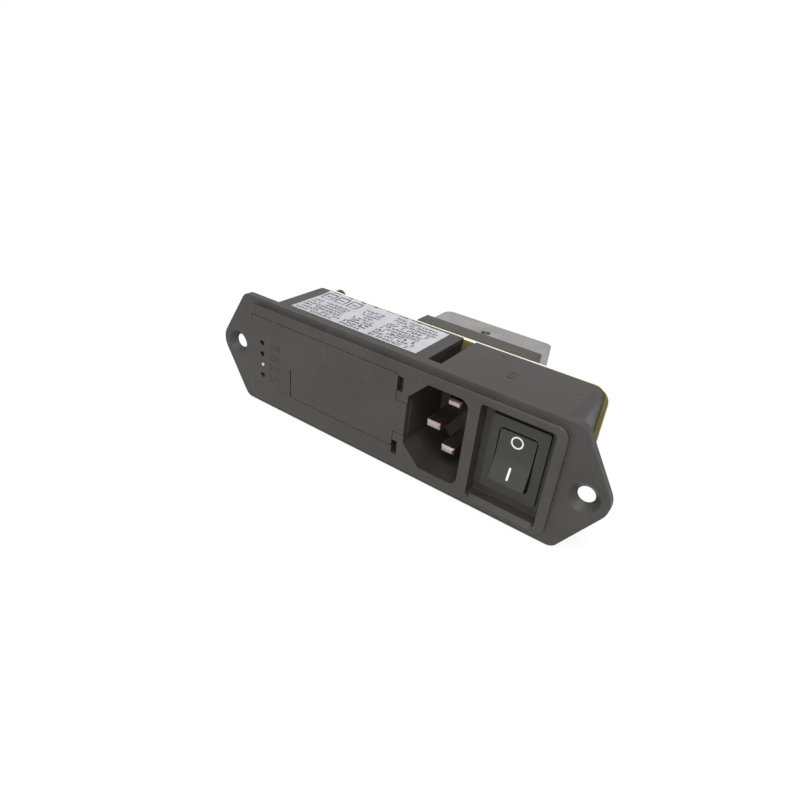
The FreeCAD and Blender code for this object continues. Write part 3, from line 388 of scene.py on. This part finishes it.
def boxes(x, y, z):
    """Closed boxes between the limits (n, 2) on each axis, as corners (n, 8, 3)."""
    pick = np.array([[0, 0, 0], [1, 0, 0], [1, 1, 0], [0, 1, 0],
                     [0, 0, 1], [1, 0, 1], [1, 1, 1], [0, 1, 1]])
    limits = np.stack([x, y, z], axis=1)
    return np.stack([limits[:, axis, :][:, pick[:, axis]] for axis in range(3)], axis=-1)


def box_faces(count):
    """The six outward faces of each of many boxes."""
    faces = np.array([[0, 3, 2, 1], [4, 5, 6, 7], [0, 1, 5, 4],
                      [2, 3, 7, 6], [1, 2, 6, 5], [3, 0, 4, 7]])
    return (np.arange(count)[:, None, None] * 8 + faces).reshape(-1, 4)


def figure_cutter(words, x, z, tall):
    """Figures as a closed mesh that reaches through the cover's face.

    Each point goes up by the bow times the square of its distance along, in figure heights. Without
    it, points exactly in line leave an open sliver in the floor of the cut.
    """
    curve = bpy.data.curves.new(f"figure_{words}", "FONT")
    curve.body = words
    curve.size = tall
    curve.extrude = CUT_DEPTH
    curve.resolution_u = 2
    curve.align_y = "CENTER"
    lettering = bpy.data.objects.new(f"figure_{words}", curve)
    bpy.context.scene.collection.objects.link(lettering)
    ready = lettering.evaluated_get(bpy.context.evaluated_depsgraph_get())
    shaped = bpy.data.meshes.new_from_object(ready)
    shaped.transform(Matrix.Translation((x, COVER_FACE, z)) @ Matrix.Rotation(math.pi / 2, 4, "X"))
    bpy.data.objects.remove(lettering)
    places = np.empty(len(shaped.vertices) * 3, np.float32)
    shaped.vertices.foreach_get("co", places)
    places = places.reshape(-1, 3)
    places[:, 2] += FIGURE_BOW * ((places[:, 0] - x) / tall) ** 2
    shaped.vertices.foreach_set("co", places.ravel())
    return shaped


def dash_cutter():
    """Rows of word-long dashes: each row's starts and lengths follow a seeded draw."""
    draw = np.random.default_rng(DASH_SEED)
    x, z = [], []
    for middle, start, end in DASH_ROWS:
        edges = start + np.cumsum(draw.uniform(*DASH_LENGTHS, DASH_TRIES)) * MM
        edges = edges[edges < end]
        edges = edges[:len(edges) // 2 * 2].reshape(-1, 2)
        x.append(edges)
        z.append(np.tile((middle - DASH_TALL / 2, middle + DASH_TALL / 2), (len(edges), 1)))
    x, z = np.concatenate(x), np.concatenate(z)
    y = np.tile((COVER_FACE - CUT_DEPTH, COVER_FACE + CUT_DEPTH / 2), (len(x), 1))
    shaped = bpy.data.meshes.new("dashes")
    shaped.from_pydata(boxes(x, y, z).reshape(-1, 3).tolist(), [], box_faces(len(x)).tolist())
    return shaped


def engraved_cover():
    """The cover's own mesh, merged, less the figures and dashes."""
    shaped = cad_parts["cover"].data.copy()
    shaped.materials.clear()
    merged = bmesh.new()
    merged.from_mesh(shaped)
    bmesh.ops.remove_doubles(merged, verts=merged.verts, dist=WELD)
    merged.to_mesh(shaped)
    merged.free()
    plate = bpy.data.objects.new("cover_engraved", shaped)
    bpy.context.scene.collection.objects.link(plate)
    figures = [figure_cutter(words, FIGURE_X, z, FIGURE_TALL) for words, z in zip(FIGURES, WINDOW_Z)]
    tools = []
    for data in [*figures, dash_cutter()]:
        tool = bpy.data.objects.new(data.name, data)
        bpy.context.scene.collection.objects.link(tool)
        cut = plate.modifiers.new(data.name, "BOOLEAN")
        cut.operation = "DIFFERENCE"
        cut.solver = "EXACT"
        cut.object = tool
        tools.append(tool)
    bpy.context.view_layer.update()
    ready = plate.evaluated_get(bpy.context.evaluated_depsgraph_get())
    result = bpy.data.meshes.new_from_object(ready)
    plate.modifiers.clear()
    plate.data = result
    for tool in tools:
        bpy.data.objects.remove(tool)
    return plate


cover_plate = engraved_cover()
cover_plate.data.materials.clear()
cover_plate.data.materials.append(housing_black)
cover_plate.modifiers.new("smooth_rounds", "NODES").node_group = smooth_rounds
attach(cover_plate, "fuse_drawer")
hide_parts("cover")


# Fuse block and its screw
# The moulded block behind the cover has a trough for each fuse, and one slotted steel screw from
# behind holds it to the cover's boss.

STAIN_SCALE = 160.0
ALONG_Y = (900, 60, 900)
METAL_EDGE = 0.14 * MM
SCREW_DARK = (0.42, 0.42, 0.42)
SCREW_LIGHT = (0.6, 0.6, 0.59)


def drawn_metal_effect():
    """Fine drawn lines along one way, and broad stains."""
    inputs = [("Stretch", "Vector", ALONG_Y), ("Stains", "Float", STAIN_SCALE)]
    group, given, result = effect("drawn_metal", inputs, [("Lines", "Float"), ("Stain", "Float")])
    where = node(group, "TexCoord").outputs["Object"]
    drawn = node(group, "VectorMath", {0: where, 1: given["Stretch"]}, operation="MULTIPLY")
    wire(group, result["Lines"], noise(group, drawn.outputs["Vector"], 1.0, 4.0))
    wire(group, result["Stain"], noise(group, where, given["Stains"], 4.0))
    return group


drawn_metal = drawn_metal_effect()


def plated_metal(name, dark, light, rough, stretch, line_depth=0.000003, spread=0.08):
    """Plated or rolled metal: stained colour, drawn lines in its gloss, and softened edges."""
    made, tree, shader = new_material(name)
    surface = use(tree, drawn_metal, Stretch=stretch)
    edges = use(tree, edge_wear, Radius=METAL_EDGE)
    stained = blend(tree, remap(tree, surface["Stain"], (0.32, 0.68), (0.0, 1.0)), dark, light)
    wire(tree, shader.inputs["Base Color"], blend(tree, edges["Mask"], stained, light))
    gloss = remap(tree, surface["Lines"], NOISE_SPAN, (rough - spread, rough + spread))
    wire(tree, shader.inputs["Roughness"], gloss)
    wire(tree, shader.inputs["Normal"], raised(tree, surface["Lines"], line_depth, edges["Normal"]))
    shader.inputs["Metallic"].default_value = 1.0
    return made


screw_steel = plated_metal("screw_steel", SCREW_DARK, SCREW_LIGHT, 0.3, (700, 700, 700))
finish_node(housing_black, "fuse_block")
finish_node(screw_steel, "block_screw")


# Fuses
# Two glass fuses of 5 by 20 mm lie across the block: a drawn glass tube, a nickelled cap pressed on
# each end, and one fine wire that sags a little between the caps.

TUBES = ("fuse_tube_upper", "fuse_tube_lower")
GLASS_DARK = (0.9, 0.95, 0.93)
GLASS_LIGHT = (0.97, 0.99, 0.98)
NICKEL_DARK = (0.5, 0.45, 0.42)
NICKEL_LIGHT = (0.72, 0.67, 0.63)
WIRE_RADIUS = 0.09 * MM
WIRE_SAG = 0.4 * MM
WIRE_STEPS = 24
WIRE_SIDES = 6


def fuse_wire(low, high):
    """A thin tube whose centre line is half a sine wave from one cap to the other."""
    share = np.linspace(0, 1, WIRE_STEPS)
    angle = np.linspace(0, 2 * math.pi, WIRE_SIDES, endpoint=False)
    radius = np.where((share == 0) | (share == 1), 0.0, WIRE_RADIUS)
    x = low.x + (high.x - low.x) * share
    y = (low.y + high.y) / 2 + WIRE_SAG * np.sin(math.pi * share)
    z = np.full(WIRE_STEPS, (low.z + high.z) / 2)
    ring = np.stack([np.zeros(WIRE_SIDES), np.cos(angle), np.sin(angle)], axis=1)
    return np.stack([x, y, z], axis=1)[:, None, :] + radius[:, None, None] * ring


def clear_glass():
    """Clear glass with faint drawn streaks in its colour and gloss."""
    made, tree, shader = new_material("clear_glass")
    streak = use(tree, drawn_metal, Stretch=(30, 900, 900))["Lines"]
    wire(tree, shader.inputs["Base Color"], mottled(tree, streak, GLASS_DARK, GLASS_LIGHT))
    wire(tree, shader.inputs["Roughness"], remap(tree, streak, NOISE_SPAN, (0.02, 0.07)))
    shader.inputs["Transmission Weight"].default_value = 0.95
    shader.inputs["IOR"].default_value = 1.45
    return made


nickel = plated_metal("nickel", NICKEL_DARK, NICKEL_LIGHT, 0.3, (250, 60, 2200))
finish_node(clear_glass(), *TUBES)
finish_node(nickel, "fuse_caps_upper", "fuse_caps_lower")
tube_boxes = [[Vector(corner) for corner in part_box(name)] for name in TUBES]
fuse_wires = np.stack([fuse_wire(low, high) for low, high in tube_boxes])
new_piece("fuse_wires", fuse_wires, grid_faces(fuse_wires.shape[:3]), nickel, "fuse_drawer", "nickel")


# Contacts, selector card and indicator pin
# Tinned brass leaves press on the fuse caps and grip the card, whose edge sets the voltage. A white
# pin on the card shows in one window.

BRASS_DARK = (0.5, 0.46, 0.38)
BRASS_LIGHT = (0.68, 0.65, 0.56)
WHITE_DARK = (0.3, 0.295, 0.28)
WHITE_LIGHT = (0.4, 0.395, 0.38)
RESIN_DARK = (0.13, 0.11, 0.035)
RESIN_LIGHT = (0.19, 0.165, 0.06)
CLOTH_COLOUR = (0.27, 0.24, 0.11)
CUT_COLOUR = (0.85, 0.8, 0.66)
CLOTH_SCALE = 420.0
LAYER_SCALE = (20, 5000, 20)
WEAVE_DEPTH = 0.01 * MM


def powdered(name, dark, light, rough, speck_depth=0.008 * MM, fine=1200.0):
    """A matt surface with a mottled colour and a fine speck: soft plastic, paint, print or film."""
    made, tree, shader = new_material(name)
    texture = use(tree, grain, Fine_Scale=fine, Cloud_Scale=140.0)
    wire(tree, shader.inputs["Base Color"], mottled(tree, texture["Cloud"], dark, light))
    gloss = remap(tree, texture["Speck"], NOISE_SPAN, (rough - 0.05, rough + 0.08))
    wire(tree, shader.inputs["Roughness"], gloss)
    wire(tree, shader.inputs["Normal"], raised(tree, texture["Speck"], speck_depth))
    return made


def board_laminate():
    """Woven glass under olive resin: two crossed waves for the cloth, and pale layers at cut edges."""
    made, tree, shader = new_material("board_laminate")
    place = node(tree, "TexCoord")
    where = place.outputs["Object"]
    threads = {"Vector": where, "Scale": CLOTH_SCALE, "Distortion": 0.6}
    warp = node(tree, "TexWave", threads, bands_direction="X").outputs["Fac"]
    weft = node(tree, "TexWave", threads, bands_direction="Z").outputs["Fac"]
    weave = node(tree, "Math", {0: warp, 1: weft}, operation="MULTIPLY").outputs[0]
    cloud = use(tree, grain, Cloud_Scale=120.0)["Cloud"]
    resin = mottled(tree, cloud, RESIN_DARK, RESIN_LIGHT)
    flat = blend(tree, remap(tree, weave, (0.2, 0.8), (0.0, 0.35)), resin, CLOTH_COLOUR)
    layers = node(tree, "Mapping", {"Vector": where, "Scale": LAYER_SCALE}).outputs["Vector"]
    cut = blend(tree, remap(tree, noise(tree, layers, 1.0), NOISE_SPAN, (0.0, 0.4)), CUT_COLOUR, resin)
    facing = node(tree, "SeparateXYZ", {0: place.outputs["Normal"]}).outputs["Y"]
    broad = node(tree, "Math", {0: facing}, operation="ABSOLUTE").outputs[0]
    colour = blend(tree, remap(tree, broad, (0.4, 0.6), (0.0, 1.0)), cut, flat)
    wire(tree, shader.inputs["Base Color"], colour)
    wire(tree, shader.inputs["Roughness"], remap(tree, cloud, NOISE_SPAN, (0.34, 0.5)))
    wire(tree, shader.inputs["Normal"], raised(tree, weave, WEAVE_DEPTH))
    return made


tinned_brass = plated_metal("tinned_brass", BRASS_DARK, BRASS_LIGHT, 0.32, (1600, 90, 1600))
laminate = board_laminate()
white_plastic = powdered("white_plastic", WHITE_DARK, WHITE_LIGHT, 0.45)
finish_node(tinned_brass, "fuse_contacts", "card_contacts")
finish_node(laminate, "selector_card")
finish_node(white_plastic, "indicator_pin")


# Inlet pins
# Three flat solid pins, nickel plated over brass and drawn lengthwise, pressed through the floor of
# the mouth. The earth pin stands furthest forward.

PIN_DARK = (0.36, 0.3, 0.27)
PIN_LIGHT = (0.48, 0.4, 0.365)

pin_nickel = plated_metal("pin_nickel", PIN_DARK, PIN_LIGHT, 0.36, ALONG_Y)
finish_node(pin_nickel, "line_pin", "neutral_pin", "earth_pin")


# Rocker switch
# A snap-in switch: a glossier black frame and rocker, with a ring and a bar printed in white on the
# rocker's two slopes. Behind it white plungers tip two tinned blades over the fixed contacts.

SWITCH_DARK = (0.014, 0.0138, 0.012)
SWITCH_LIGHT = (0.02, 0.0195, 0.017)
SWITCH_RUBBED = (0.06, 0.058, 0.054)
PIVOT = np.array([37.1, 2.1, 0.0]) * MM
REST_TILT = math.radians(-9)
SLOPE_END = np.array([3.4, 7.9]) * MM
DIP = 1.0 * MM
MARK_SKIN = 0.03 * MM
RING_AT, RING_OUTER, RING_STROKE = 4.7 * MM, 1.62 * MM, 0.42 * MM
BAR_AT, BAR_HALF_LONG, BAR_HALF_WIDE = -3.75 * MM, 1.7 * MM, 0.26 * MM
MARK_STEPS = 48
MARK_DARK = (0.52, 0.52, 0.51)
MARK_LIGHT = (0.6, 0.6, 0.59)


def rocker_slopes(across, along, lift):
    """Points on the rocker's two slopes, which meet in a dip.

    The depth is the end's, less the dip times the share of the way still to go, and the whole turns
    about the pivot by the tilt at rest.
    """
    front = -(SLOPE_END[0] - DIP * (1 - np.abs(along) / SLOPE_END[1])) - lift
    cosine, sine = math.cos(REST_TILT), math.sin(REST_TILT)
    y = front * cosine - along * sine
    z = front * sine + along * cosine
    return PIVOT + np.stack([across, y, z], axis=-1)


def printed_loop(outline_across, outline_along, inner_share, middle):
    """A thin closed print: an outline and its drawn-in copy, each just under and just over the face."""
    skins = ((1, -MARK_SKIN), (1, MARK_SKIN), (inner_share, MARK_SKIN), (inner_share, -MARK_SKIN))
    rims = [rocker_slopes(outline_across * share, middle + outline_along * share, lift)
            for share, lift in skins]
    return np.stack(rims, axis=1)[None]


switch_black = moulded_plastic("switch_black", SWITCH_DARK, SWITCH_LIGHT, SWITCH_RUBBED, 0.42,
                               pore=0.006 * MM, fine=3400.0)
finish_node(switch_black, "switch_body", "rocker")
finish_node(white_plastic, "switch_plungers")
finish_node(tinned_brass, "switch_blades", "switch_terminals")

mark_white = powdered("mark_white", MARK_DARK, MARK_LIGHT, 0.5, 0.004 * MM, 1600.0)
angle = np.linspace(0, 2 * math.pi, MARK_STEPS, endpoint=False)
ring_hole = 1 - RING_STROKE / RING_OUTER
ring = printed_loop(RING_OUTER * np.cos(angle), RING_OUTER * np.sin(angle), ring_hole, RING_AT)
new_piece("mark_ring", ring, grid_faces(ring.shape[:3], wrap_rows=True),
          mark_white, "switch_rocker", "white_plastic")
straight = (BAR_HALF_LONG - BAR_HALF_WIDE) * np.sign(np.sin(angle))
bar = printed_loop(BAR_HALF_WIDE * np.cos(angle), BAR_HALF_WIDE * np.sin(angle) + straight, 0.0, BAR_AT)
new_piece("mark_bar", bar, grid_faces(bar.shape[:3], wrap_rows=True),
          mark_white, "switch_rocker", "white_plastic", smooth=False)


# Circuit board
# A single-sided board staked to the back of the housing: olive glass laminate with pale sawn edges,
# copper runs under the varnish on its back, and a cone of solder at each tail.

BOARD_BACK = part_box("circuit_board")[1][1]
TRACK_RISE = 0.04 * MM
FUSE_X, FUSE_Z = (-26.05, -11.05), (5.7, -3.1)
CARD_X = -43.6
POLE_X, POLE_Z = (34.5, 39.7), (0.0, 5.8)
TAB_X, TAB_Z = (-35.5, -29.0, -22.5, -16.0), -4.0
COPPER_DARK = (0.17, 0.155, 0.045)
COPPER_LIGHT = (0.25, 0.225, 0.08)
SOLDER_DARK = (0.42, 0.42, 0.42)
SOLDER_LIGHT = (0.62, 0.62, 0.61)
SMALL_JOINT = 0.72
CONE_FOOT, CONE_TAPER = 1.35, 0.95
CONE_WALL, CONE_CURVE, CONE_TIP = 1.25, 1.6, 1.3

# Each copper run: how wide it is, and its path over the board as x and z, in millimetres.
TRACKS = (
    (2.4, ((CARD_X, FUSE_Z[0]), (-38.5, 10.5), (FUSE_X[0], 10.5), (FUSE_X[0], FUSE_Z[0]))),
    (2.4, ((CARD_X, FUSE_Z[1]), (CARD_X, -9.5), (TAB_X[0], -9.5), (TAB_X[0], TAB_Z))),
    (2.6, ((FUSE_X[0], FUSE_Z[1]), (TAB_X[1], TAB_Z))),
    (2.6, ((FUSE_X[1], FUSE_Z[0]), (FUSE_X[1], 11.0), (-19.5, 11.0), (TAB_X[2], 6.0), (TAB_X[2], TAB_Z))),
    (2.6, ((FUSE_X[1], FUSE_Z[1]), (TAB_X[3], TAB_Z))),
    (2.4, ((POLE_X[0], POLE_Z[1]), (POLE_X[0], 10.5), (28.6, 10.5))),
    (2.4, ((POLE_X[1], POLE_Z[1]), (43.0, 5.8), (43.0, -6.0), (40.0, -9.0), (28.6, -9.0))),
    (2.2, ((POLE_X[0], POLE_Z[0]), (31.0, -2.5), (28.6, -2.5))),
    (2.2, ((POLE_X[1], POLE_Z[0]), (POLE_X[1], -5.8), (28.6, -5.8))),
)


def track(points, wide):
    """A flat bar carried along a path in the board's plane, its corners mitred by the half angle."""
    path = np.array(points) * MM
    step = np.diff(path, axis=0)
    step /= np.linalg.norm(step, axis=1)[:, None]
    before, after = np.vstack([step[:1], step]), np.vstack([step, step[-1:]])
    aside = np.stack([-(before + after)[:, 1], (before + after)[:, 0]], axis=1)
    aside /= (1 + np.sum(before * after, axis=1))[:, None]
    path[0] -= step[0] * wide * MM / 2
    path[-1] += step[-1] * wide * MM / 2
    left, right_side = path + aside * wide * MM / 2, path - aside * wide * MM / 2
    low, high = BOARD_BACK - TRACK_RISE, BOARD_BACK + TRACK_RISE
    corners = [(left, low), (left, high), (right_side, high), (right_side, low)]
    edges = [np.stack([side[:, 0], np.full(len(side), y), side[:, 1]], axis=1) for side, y in corners]
    return np.stack(edges, axis=1)


def all_tracks():
    """Every run's points and faces, with both ends closed."""
    points, faces, start = [], [], 0
    for wide, path in TRACKS:
        bar = track(path, wide)
        points.append(bar.reshape(-1, 3))
        ends = np.array([[0, 1, 2, 3], [3, 2, 1, 0]]) + [[0], [len(bar) * 4 - 4]]
        faces.append(np.vstack([grid_faces((1, len(bar), 4)), ends]) + start)
        start += len(bar) * 4
    return np.concatenate(points), np.concatenate(faces)


finish_node(laminate, "circuit_board")
copper = powdered("varnished_copper", COPPER_DARK, COPPER_LIGHT, 0.3, 0.003 * MM)
new_piece("board_tracks", *all_tracks(), copper, "base", "board_laminate", smooth=False)

solder = plated_metal("solder", SOLDER_DARK, SOLDER_LIGHT, 0.34, (500, 500, 500), 0.008 * MM)
tails = [(x, z) for x in FUSE_X for z in FUSE_Z] + [(CARD_X, z) for z in FUSE_Z]
tails += [(x, z) for x in POLE_X for z in POLE_Z]
joints = np.array([(x, BOARD_BACK / MM, z) for x, z in tails]) * MM
sizes = np.where(np.isclose(joints[:, 0], FUSE_X[1] * MM), SMALL_JOINT, 1.0)

# A cone narrows by the root of the way up its wall, whose height follows a power of the same way.
slope = np.linspace(0, 1, 8)
cone_radii = np.array([0, *(CONE_FOOT - CONE_TAPER * np.sqrt(slope)), 0]) * MM
cone_heights = np.array([0, *(CONE_WALL * slope ** CONE_CURVE), CONE_TIP]) * MM
solder_cones = turned(joints, (0, 1, 0), cone_radii, cone_heights, scales=sizes)
new_piece("solder_joints", solder_cones, grid_faces(solder_cones.shape[:3]),
          solder, "base", "tinned_brass")


# Line filter
# A drawn metal can, potted, on a moulded base that seats on the board. The can is one piece, dull
# from handling, with the round press mark in its top and its rear corners drawn round.

BASE_DARK = (0.028, 0.027, 0.023)
BASE_LIGHT = (0.038, 0.036, 0.031)
BASE_RUBBED = (0.1, 0.096, 0.086)
CAN_DARK = (0.27, 0.262, 0.252)
CAN_LIGHT = (0.345, 0.336, 0.324)

base_black = moulded_plastic("base_black", BASE_DARK, BASE_LIGHT, BASE_RUBBED, 0.5)
can_metal = plated_metal("can_metal", CAN_DARK, CAN_LIGHT, 0.44, (500, 500, 90),
                         line_depth=0.002 * MM, spread=0.05)
finish_node(base_black, "filter_base")
finish_node(can_metal, "filter_can")


# Output tabs
# Four tinned brass quick-connect tabs on the board's back take the leads to the equipment.

finish_node(tinned_brass, "output_tabs")


# Rating label
# A silvery film stuck to the top of the box, its rear edge lifted in small creases. Its print is
# stood for by plain strokes and boxes that say nothing.

LABEL_LOW, LABEL_HIGH = (Vector(corner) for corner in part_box("rating_label"))
FILM = LABEL_HIGH.z - LABEL_LOW.z
CREASE_BAND = 3.6 * MM
CREASE_RISE = 0.75 * MM
INK_RISE = 0.014 * MM
FILM_STEPS = (150, 40)
FILM_DARK = (0.34, 0.34, 0.36)
FILM_LIGHT = (0.43, 0.43, 0.455)
INK_DARK = (0.02, 0.02, 0.03)
INK_LIGHT = (0.045, 0.045, 0.06)
PRINT_SEED = 7
ROW_GAP = 0.5
ROW_RAGGED = 2.4
CELL_WIDE, CELL_FILL = 0.78, 0.96
SPACE_CHANCE = 0.13
DIAGRAM_PITCH = 4.9
DIAGRAM_WIDE = 3.9 * MM
DIAGRAM_FRONT, DIAGRAM_BACK = 4.6 * MM, 0.4 * MM
DIAGRAM_STROKE = 0.3 * MM

# Each column of print: where it starts and ends as shares of the width, and its rows' heights.
PRINT_COLUMNS = (
    (0.0, 0.37, (1.15, 1.15, 1.3, 1.15, 1.15, 1.15)),
    (0.39, 0.61, (1.3, 2.1, 1.2, 1.2, 1.1, 1.1, 1.1, 1.1)),
    (0.63, 1.0, (1.3, 1.2, 1.7, 1.2, 1.2, 1.5, 1.2, 1.1, 1.1)),
)

# The strokes of four kinds of mark as shares of a cell: x from and to, then y from and to.
STROKES = np.array([
    [[0.0, 0.34, 0.0, 1.0], [0.34, 0.92, 0.34, 0.66]],
    [[0.0, 0.92, 0.0, 0.3], [0.0, 0.92, 0.68, 1.0]],
    [[0.28, 0.64, 0.0, 1.0], [0.64, 0.96, 0.0, 0.34]],
    [[0.0, 0.36, 0.0, 0.66], [0.56, 0.92, 0.3, 1.0]],
])


def label_top(x, y):
    """The film's height: flat, then rising to the rear edge by the square of the way into a band.

    Three squared sines of uneven pitch along the edge scale the rise, which fades to the right.
    """
    near = np.clip((y - (LABEL_HIGH.y - CREASE_BAND)) / CREASE_BAND, 0, 1)
    along = (x - LABEL_LOW.x) / MM
    waves = np.sin(along * 0.62 + 1.1) ** 2 * 0.55 + np.sin(along * 1.37 + 0.4) ** 2 * 0.3
    waves = waves + np.sin(along * 0.19) ** 2 * 0.15
    lifted = np.clip((LABEL_HIGH.x - 4 * MM - x) / (14 * MM), 0.15, 1)
    return LABEL_HIGH.z + CREASE_RISE * near ** 2 * waves * lifted


def label_film_points():
    """A closed sheet: the film's top over a grid, and its underside a film's thickness lower."""
    along = np.linspace(LABEL_LOW.x, LABEL_HIGH.x, FILM_STEPS[0])
    x, y = np.meshgrid(along, np.linspace(LABEL_LOW.y, LABEL_HIGH.y, FILM_STEPS[1]))
    top = label_top(x, y)
    upper = np.stack([x, y, top], axis=-1)
    lower = np.stack([x, y, top - FILM], axis=-1)
    return np.concatenate([upper, lower[:, ::-1]], axis=1)[None]


def film_faces(rows, columns):
    """Quads round the doubled sheet, and the two open ends closed strip by strip."""
    half = columns // 2
    step = np.arange(half - 1)
    first = np.stack([step, step + 1, columns - 2 - step, columns - 1 - step], axis=1)
    last = first[:, ::-1] + (rows - 1) * columns
    return np.vstack([grid_faces((1, rows, columns)), first, last])


def print_row(x_start, x_end, y_start, tall, draw):
    """One row of print: evenly spaced cells, some left empty, each with one of the kinds of mark."""
    pitch = tall * CELL_WIDE
    cells = x_start + pitch * np.arange(int((x_end - x_start) / pitch))
    cells = cells[draw.random(len(cells)) > SPACE_CHANCE]
    shapes = STROKES[draw.integers(0, len(STROKES), len(cells))]
    x = cells[:, None, None] + shapes[:, :, 0:2] * pitch * CELL_FILL
    y = y_start + shapes[:, :, 2:4] * tall
    return np.concatenate([x, y], axis=-1).reshape(-1, 4)


def outline_box(x0, x1, y0, y1, stroke):
    """The four strokes of a plain box."""
    return np.array([[x0, x1, y0, y0 + stroke], [x0, x1, y1 - stroke, y1],
                     [x0, x0 + stroke, y0, y1], [x1 - stroke, x1, y0, y1]])


def label_print():
    """All strokes as (x0, x1, y0, y1) rows: three columns of ragged rows, and boxes at the back left."""
    draw = np.random.default_rng(PRINT_SEED)
    front, back = LABEL_LOW.y + 0.7 * MM, LABEL_HIGH.y - 0.9 * MM
    left, wide = LABEL_LOW.x + 1.0 * MM, LABEL_HIGH.x - LABEL_LOW.x - 2.0 * MM
    marks = []
    for start, end, rows in PRINT_COLUMNS:
        row = front
        for tall in rows:
            ragged = left + end * wide - draw.uniform(0.0, ROW_RAGGED) * MM
            marks.append(print_row(left + start * wide, ragged, row, tall * MM, draw))
            row += (tall + ROW_GAP) * MM
    for start in left + np.arange(3) * DIAGRAM_PITCH * MM:
        marks.append(outline_box(start, start + DIAGRAM_WIDE, back - DIAGRAM_FRONT, back - DIAGRAM_BACK,
                                 DIAGRAM_STROKE))
        marks.append(np.array([[start + 1.0 * MM, start + 2.9 * MM, back - 2.8 * MM, back - 2.2 * MM]]))
    return np.vstack(marks)


def raised_print(marks):
    """Each stroke as a closed box that follows the film at its own four corners."""
    x, y = marks[:, 0:2], marks[:, 2:4]
    points = boxes(x, y, np.zeros_like(x))
    lift = np.where(np.arange(8) < 4, -INK_RISE, INK_RISE)
    points[..., 2] = label_top(points[..., 0], points[..., 1]) + lift
    return points


label_film = powdered("label_film", FILM_DARK, FILM_LIGHT, 0.45, 0.006 * MM, 800.0)
label_ink = powdered("label_ink", INK_DARK, INK_LIGHT, 0.5)
film = label_film_points()
label = new_piece("label_film", film, film_faces(*film.shape[1:3]), label_film, "base", "label_film")
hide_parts("rating_label")
ink = raised_print(label_print())
new_piece("label_print", ink, box_faces(len(ink)), label_ink, "base", "label_film", smooth=False)


# Studio
# The module lies against a plain white ground. The floor glows white to the camera and in
# reflections, and keeps the module's soft shadow close by. The key lamp stands high at the front
# right, a fill lamp stands in front, and a faint one hangs high behind.

FLOOR_HALF = 3.0
FLOOR_GAP = 0.05 * MM
FLOOR_DARK = (0.86, 0.86, 0.86)
FLOOR_LIGHT = (0.88, 0.88, 0.88)
SHADOW_SHARE = 0.15
SHADOW_NEAR, SHADOW_FAR = 0.06, 0.2
WORLD_LIGHT = 0.85


def seen_directly(tree):
    """One where a ray comes from the camera, a reflection or clear glass."""
    path = node(tree, "LightPath").outputs
    indirect = {0: path["Is Glossy Ray"], 1: path["Is Transmission Ray"]}
    mirrored = node(tree, "Math", indirect, operation="MAXIMUM").outputs[0]
    either = {0: path["Is Camera Ray"], 1: mirrored}
    return node(tree, "Math", either, operation="MAXIMUM").outputs[0]


def white_floor():
    """A floor that glows white, less a share near the module that takes its shadow."""
    made, tree, shader = new_material("floor")
    where = node(tree, "TexCoord").outputs["Object"]
    mottle = use(tree, grain, Fine_Scale=60.0, Cloud_Scale=14.0)["Cloud"]
    wire(tree, shader.inputs["Base Color"], mottled(tree, mottle, FLOOR_DARK, FLOOR_LIGHT))
    shader.inputs["Roughness"].default_value = 0.9
    away = node(tree, "VectorMath", {0: where}, operation="LENGTH").outputs["Value"]
    glow = remap(tree, away, (SHADOW_NEAR, SHADOW_FAR), (1 - SHADOW_SHARE, 1.0))
    share = node(tree, "Math", {0: seen_directly(tree), 1: glow}, operation="MULTIPLY").outputs[0]
    white = node(tree, "Emission", {"Color": (1, 1, 1), "Strength": 1.0}).outputs[0]
    both = node(tree, "MixShader", {0: share, 1: shader.outputs[0], 2: white}).outputs[0]
    output = next(item for item in tree.nodes if item.type == "OUTPUT_MATERIAL")
    wire(tree, output.inputs["Surface"], both)
    data = bpy.data.meshes.new("floor")
    level = CAD_BOX[0][2] - FLOOR_GAP
    corners = [(x, y, level) for x, y in ((-1, -1), (1, -1), (1, 1), (-1, 1))]
    data.from_pydata([(x * FLOOR_HALF, y * FLOOR_HALF, z) for x, y, z in corners], [], [(0, 1, 2, 3)])
    data.materials.append(made)
    floor = bpy.data.objects.new("floor", data)
    bpy.context.scene.collection.objects.link(floor)


def soft_lamp(name, place, aim, size, power):
    """A square lamp turned from its place to what it lights."""
    data = bpy.data.lights.new(name, "AREA")
    data.size = size
    data.energy = power
    lamp = bpy.data.objects.new(name, data)
    facing = (Vector(aim) - Vector(place)).to_track_quat("-Z", "Y")
    lamp.matrix_world = Matrix.Translation(place) @ facing.to_matrix().to_4x4()
    bpy.context.scene.collection.objects.link(lamp)


white_floor()
world = bpy.data.worlds.new("studio")
world.use_nodes = True
sky = world.node_tree
ground = next(item for item in sky.nodes if item.type == "BACKGROUND")
ground.inputs["Color"].default_value = (1, 1, 1, 1)
wire(sky, ground.inputs["Strength"], remap(sky, seen_directly(sky), (0.0, 1.0), (WORLD_LIGHT, 1.0)))
bpy.context.scene.world = world

soft_lamp("key", place=(0.18, -0.3, 0.62), aim=(0.01, 0, 0), size=0.3, power=3.5)
soft_lamp("top", place=(-0.1, 0.35, 0.65), aim=(0, 0.02, 0), size=0.4, power=0.4)
soft_lamp("fill", place=(0.1, -0.75, 0.15), aim=(0, 0, 0), size=0.5, power=2.8)
bpy.context.scene.view_settings.view_transform = "Standard"
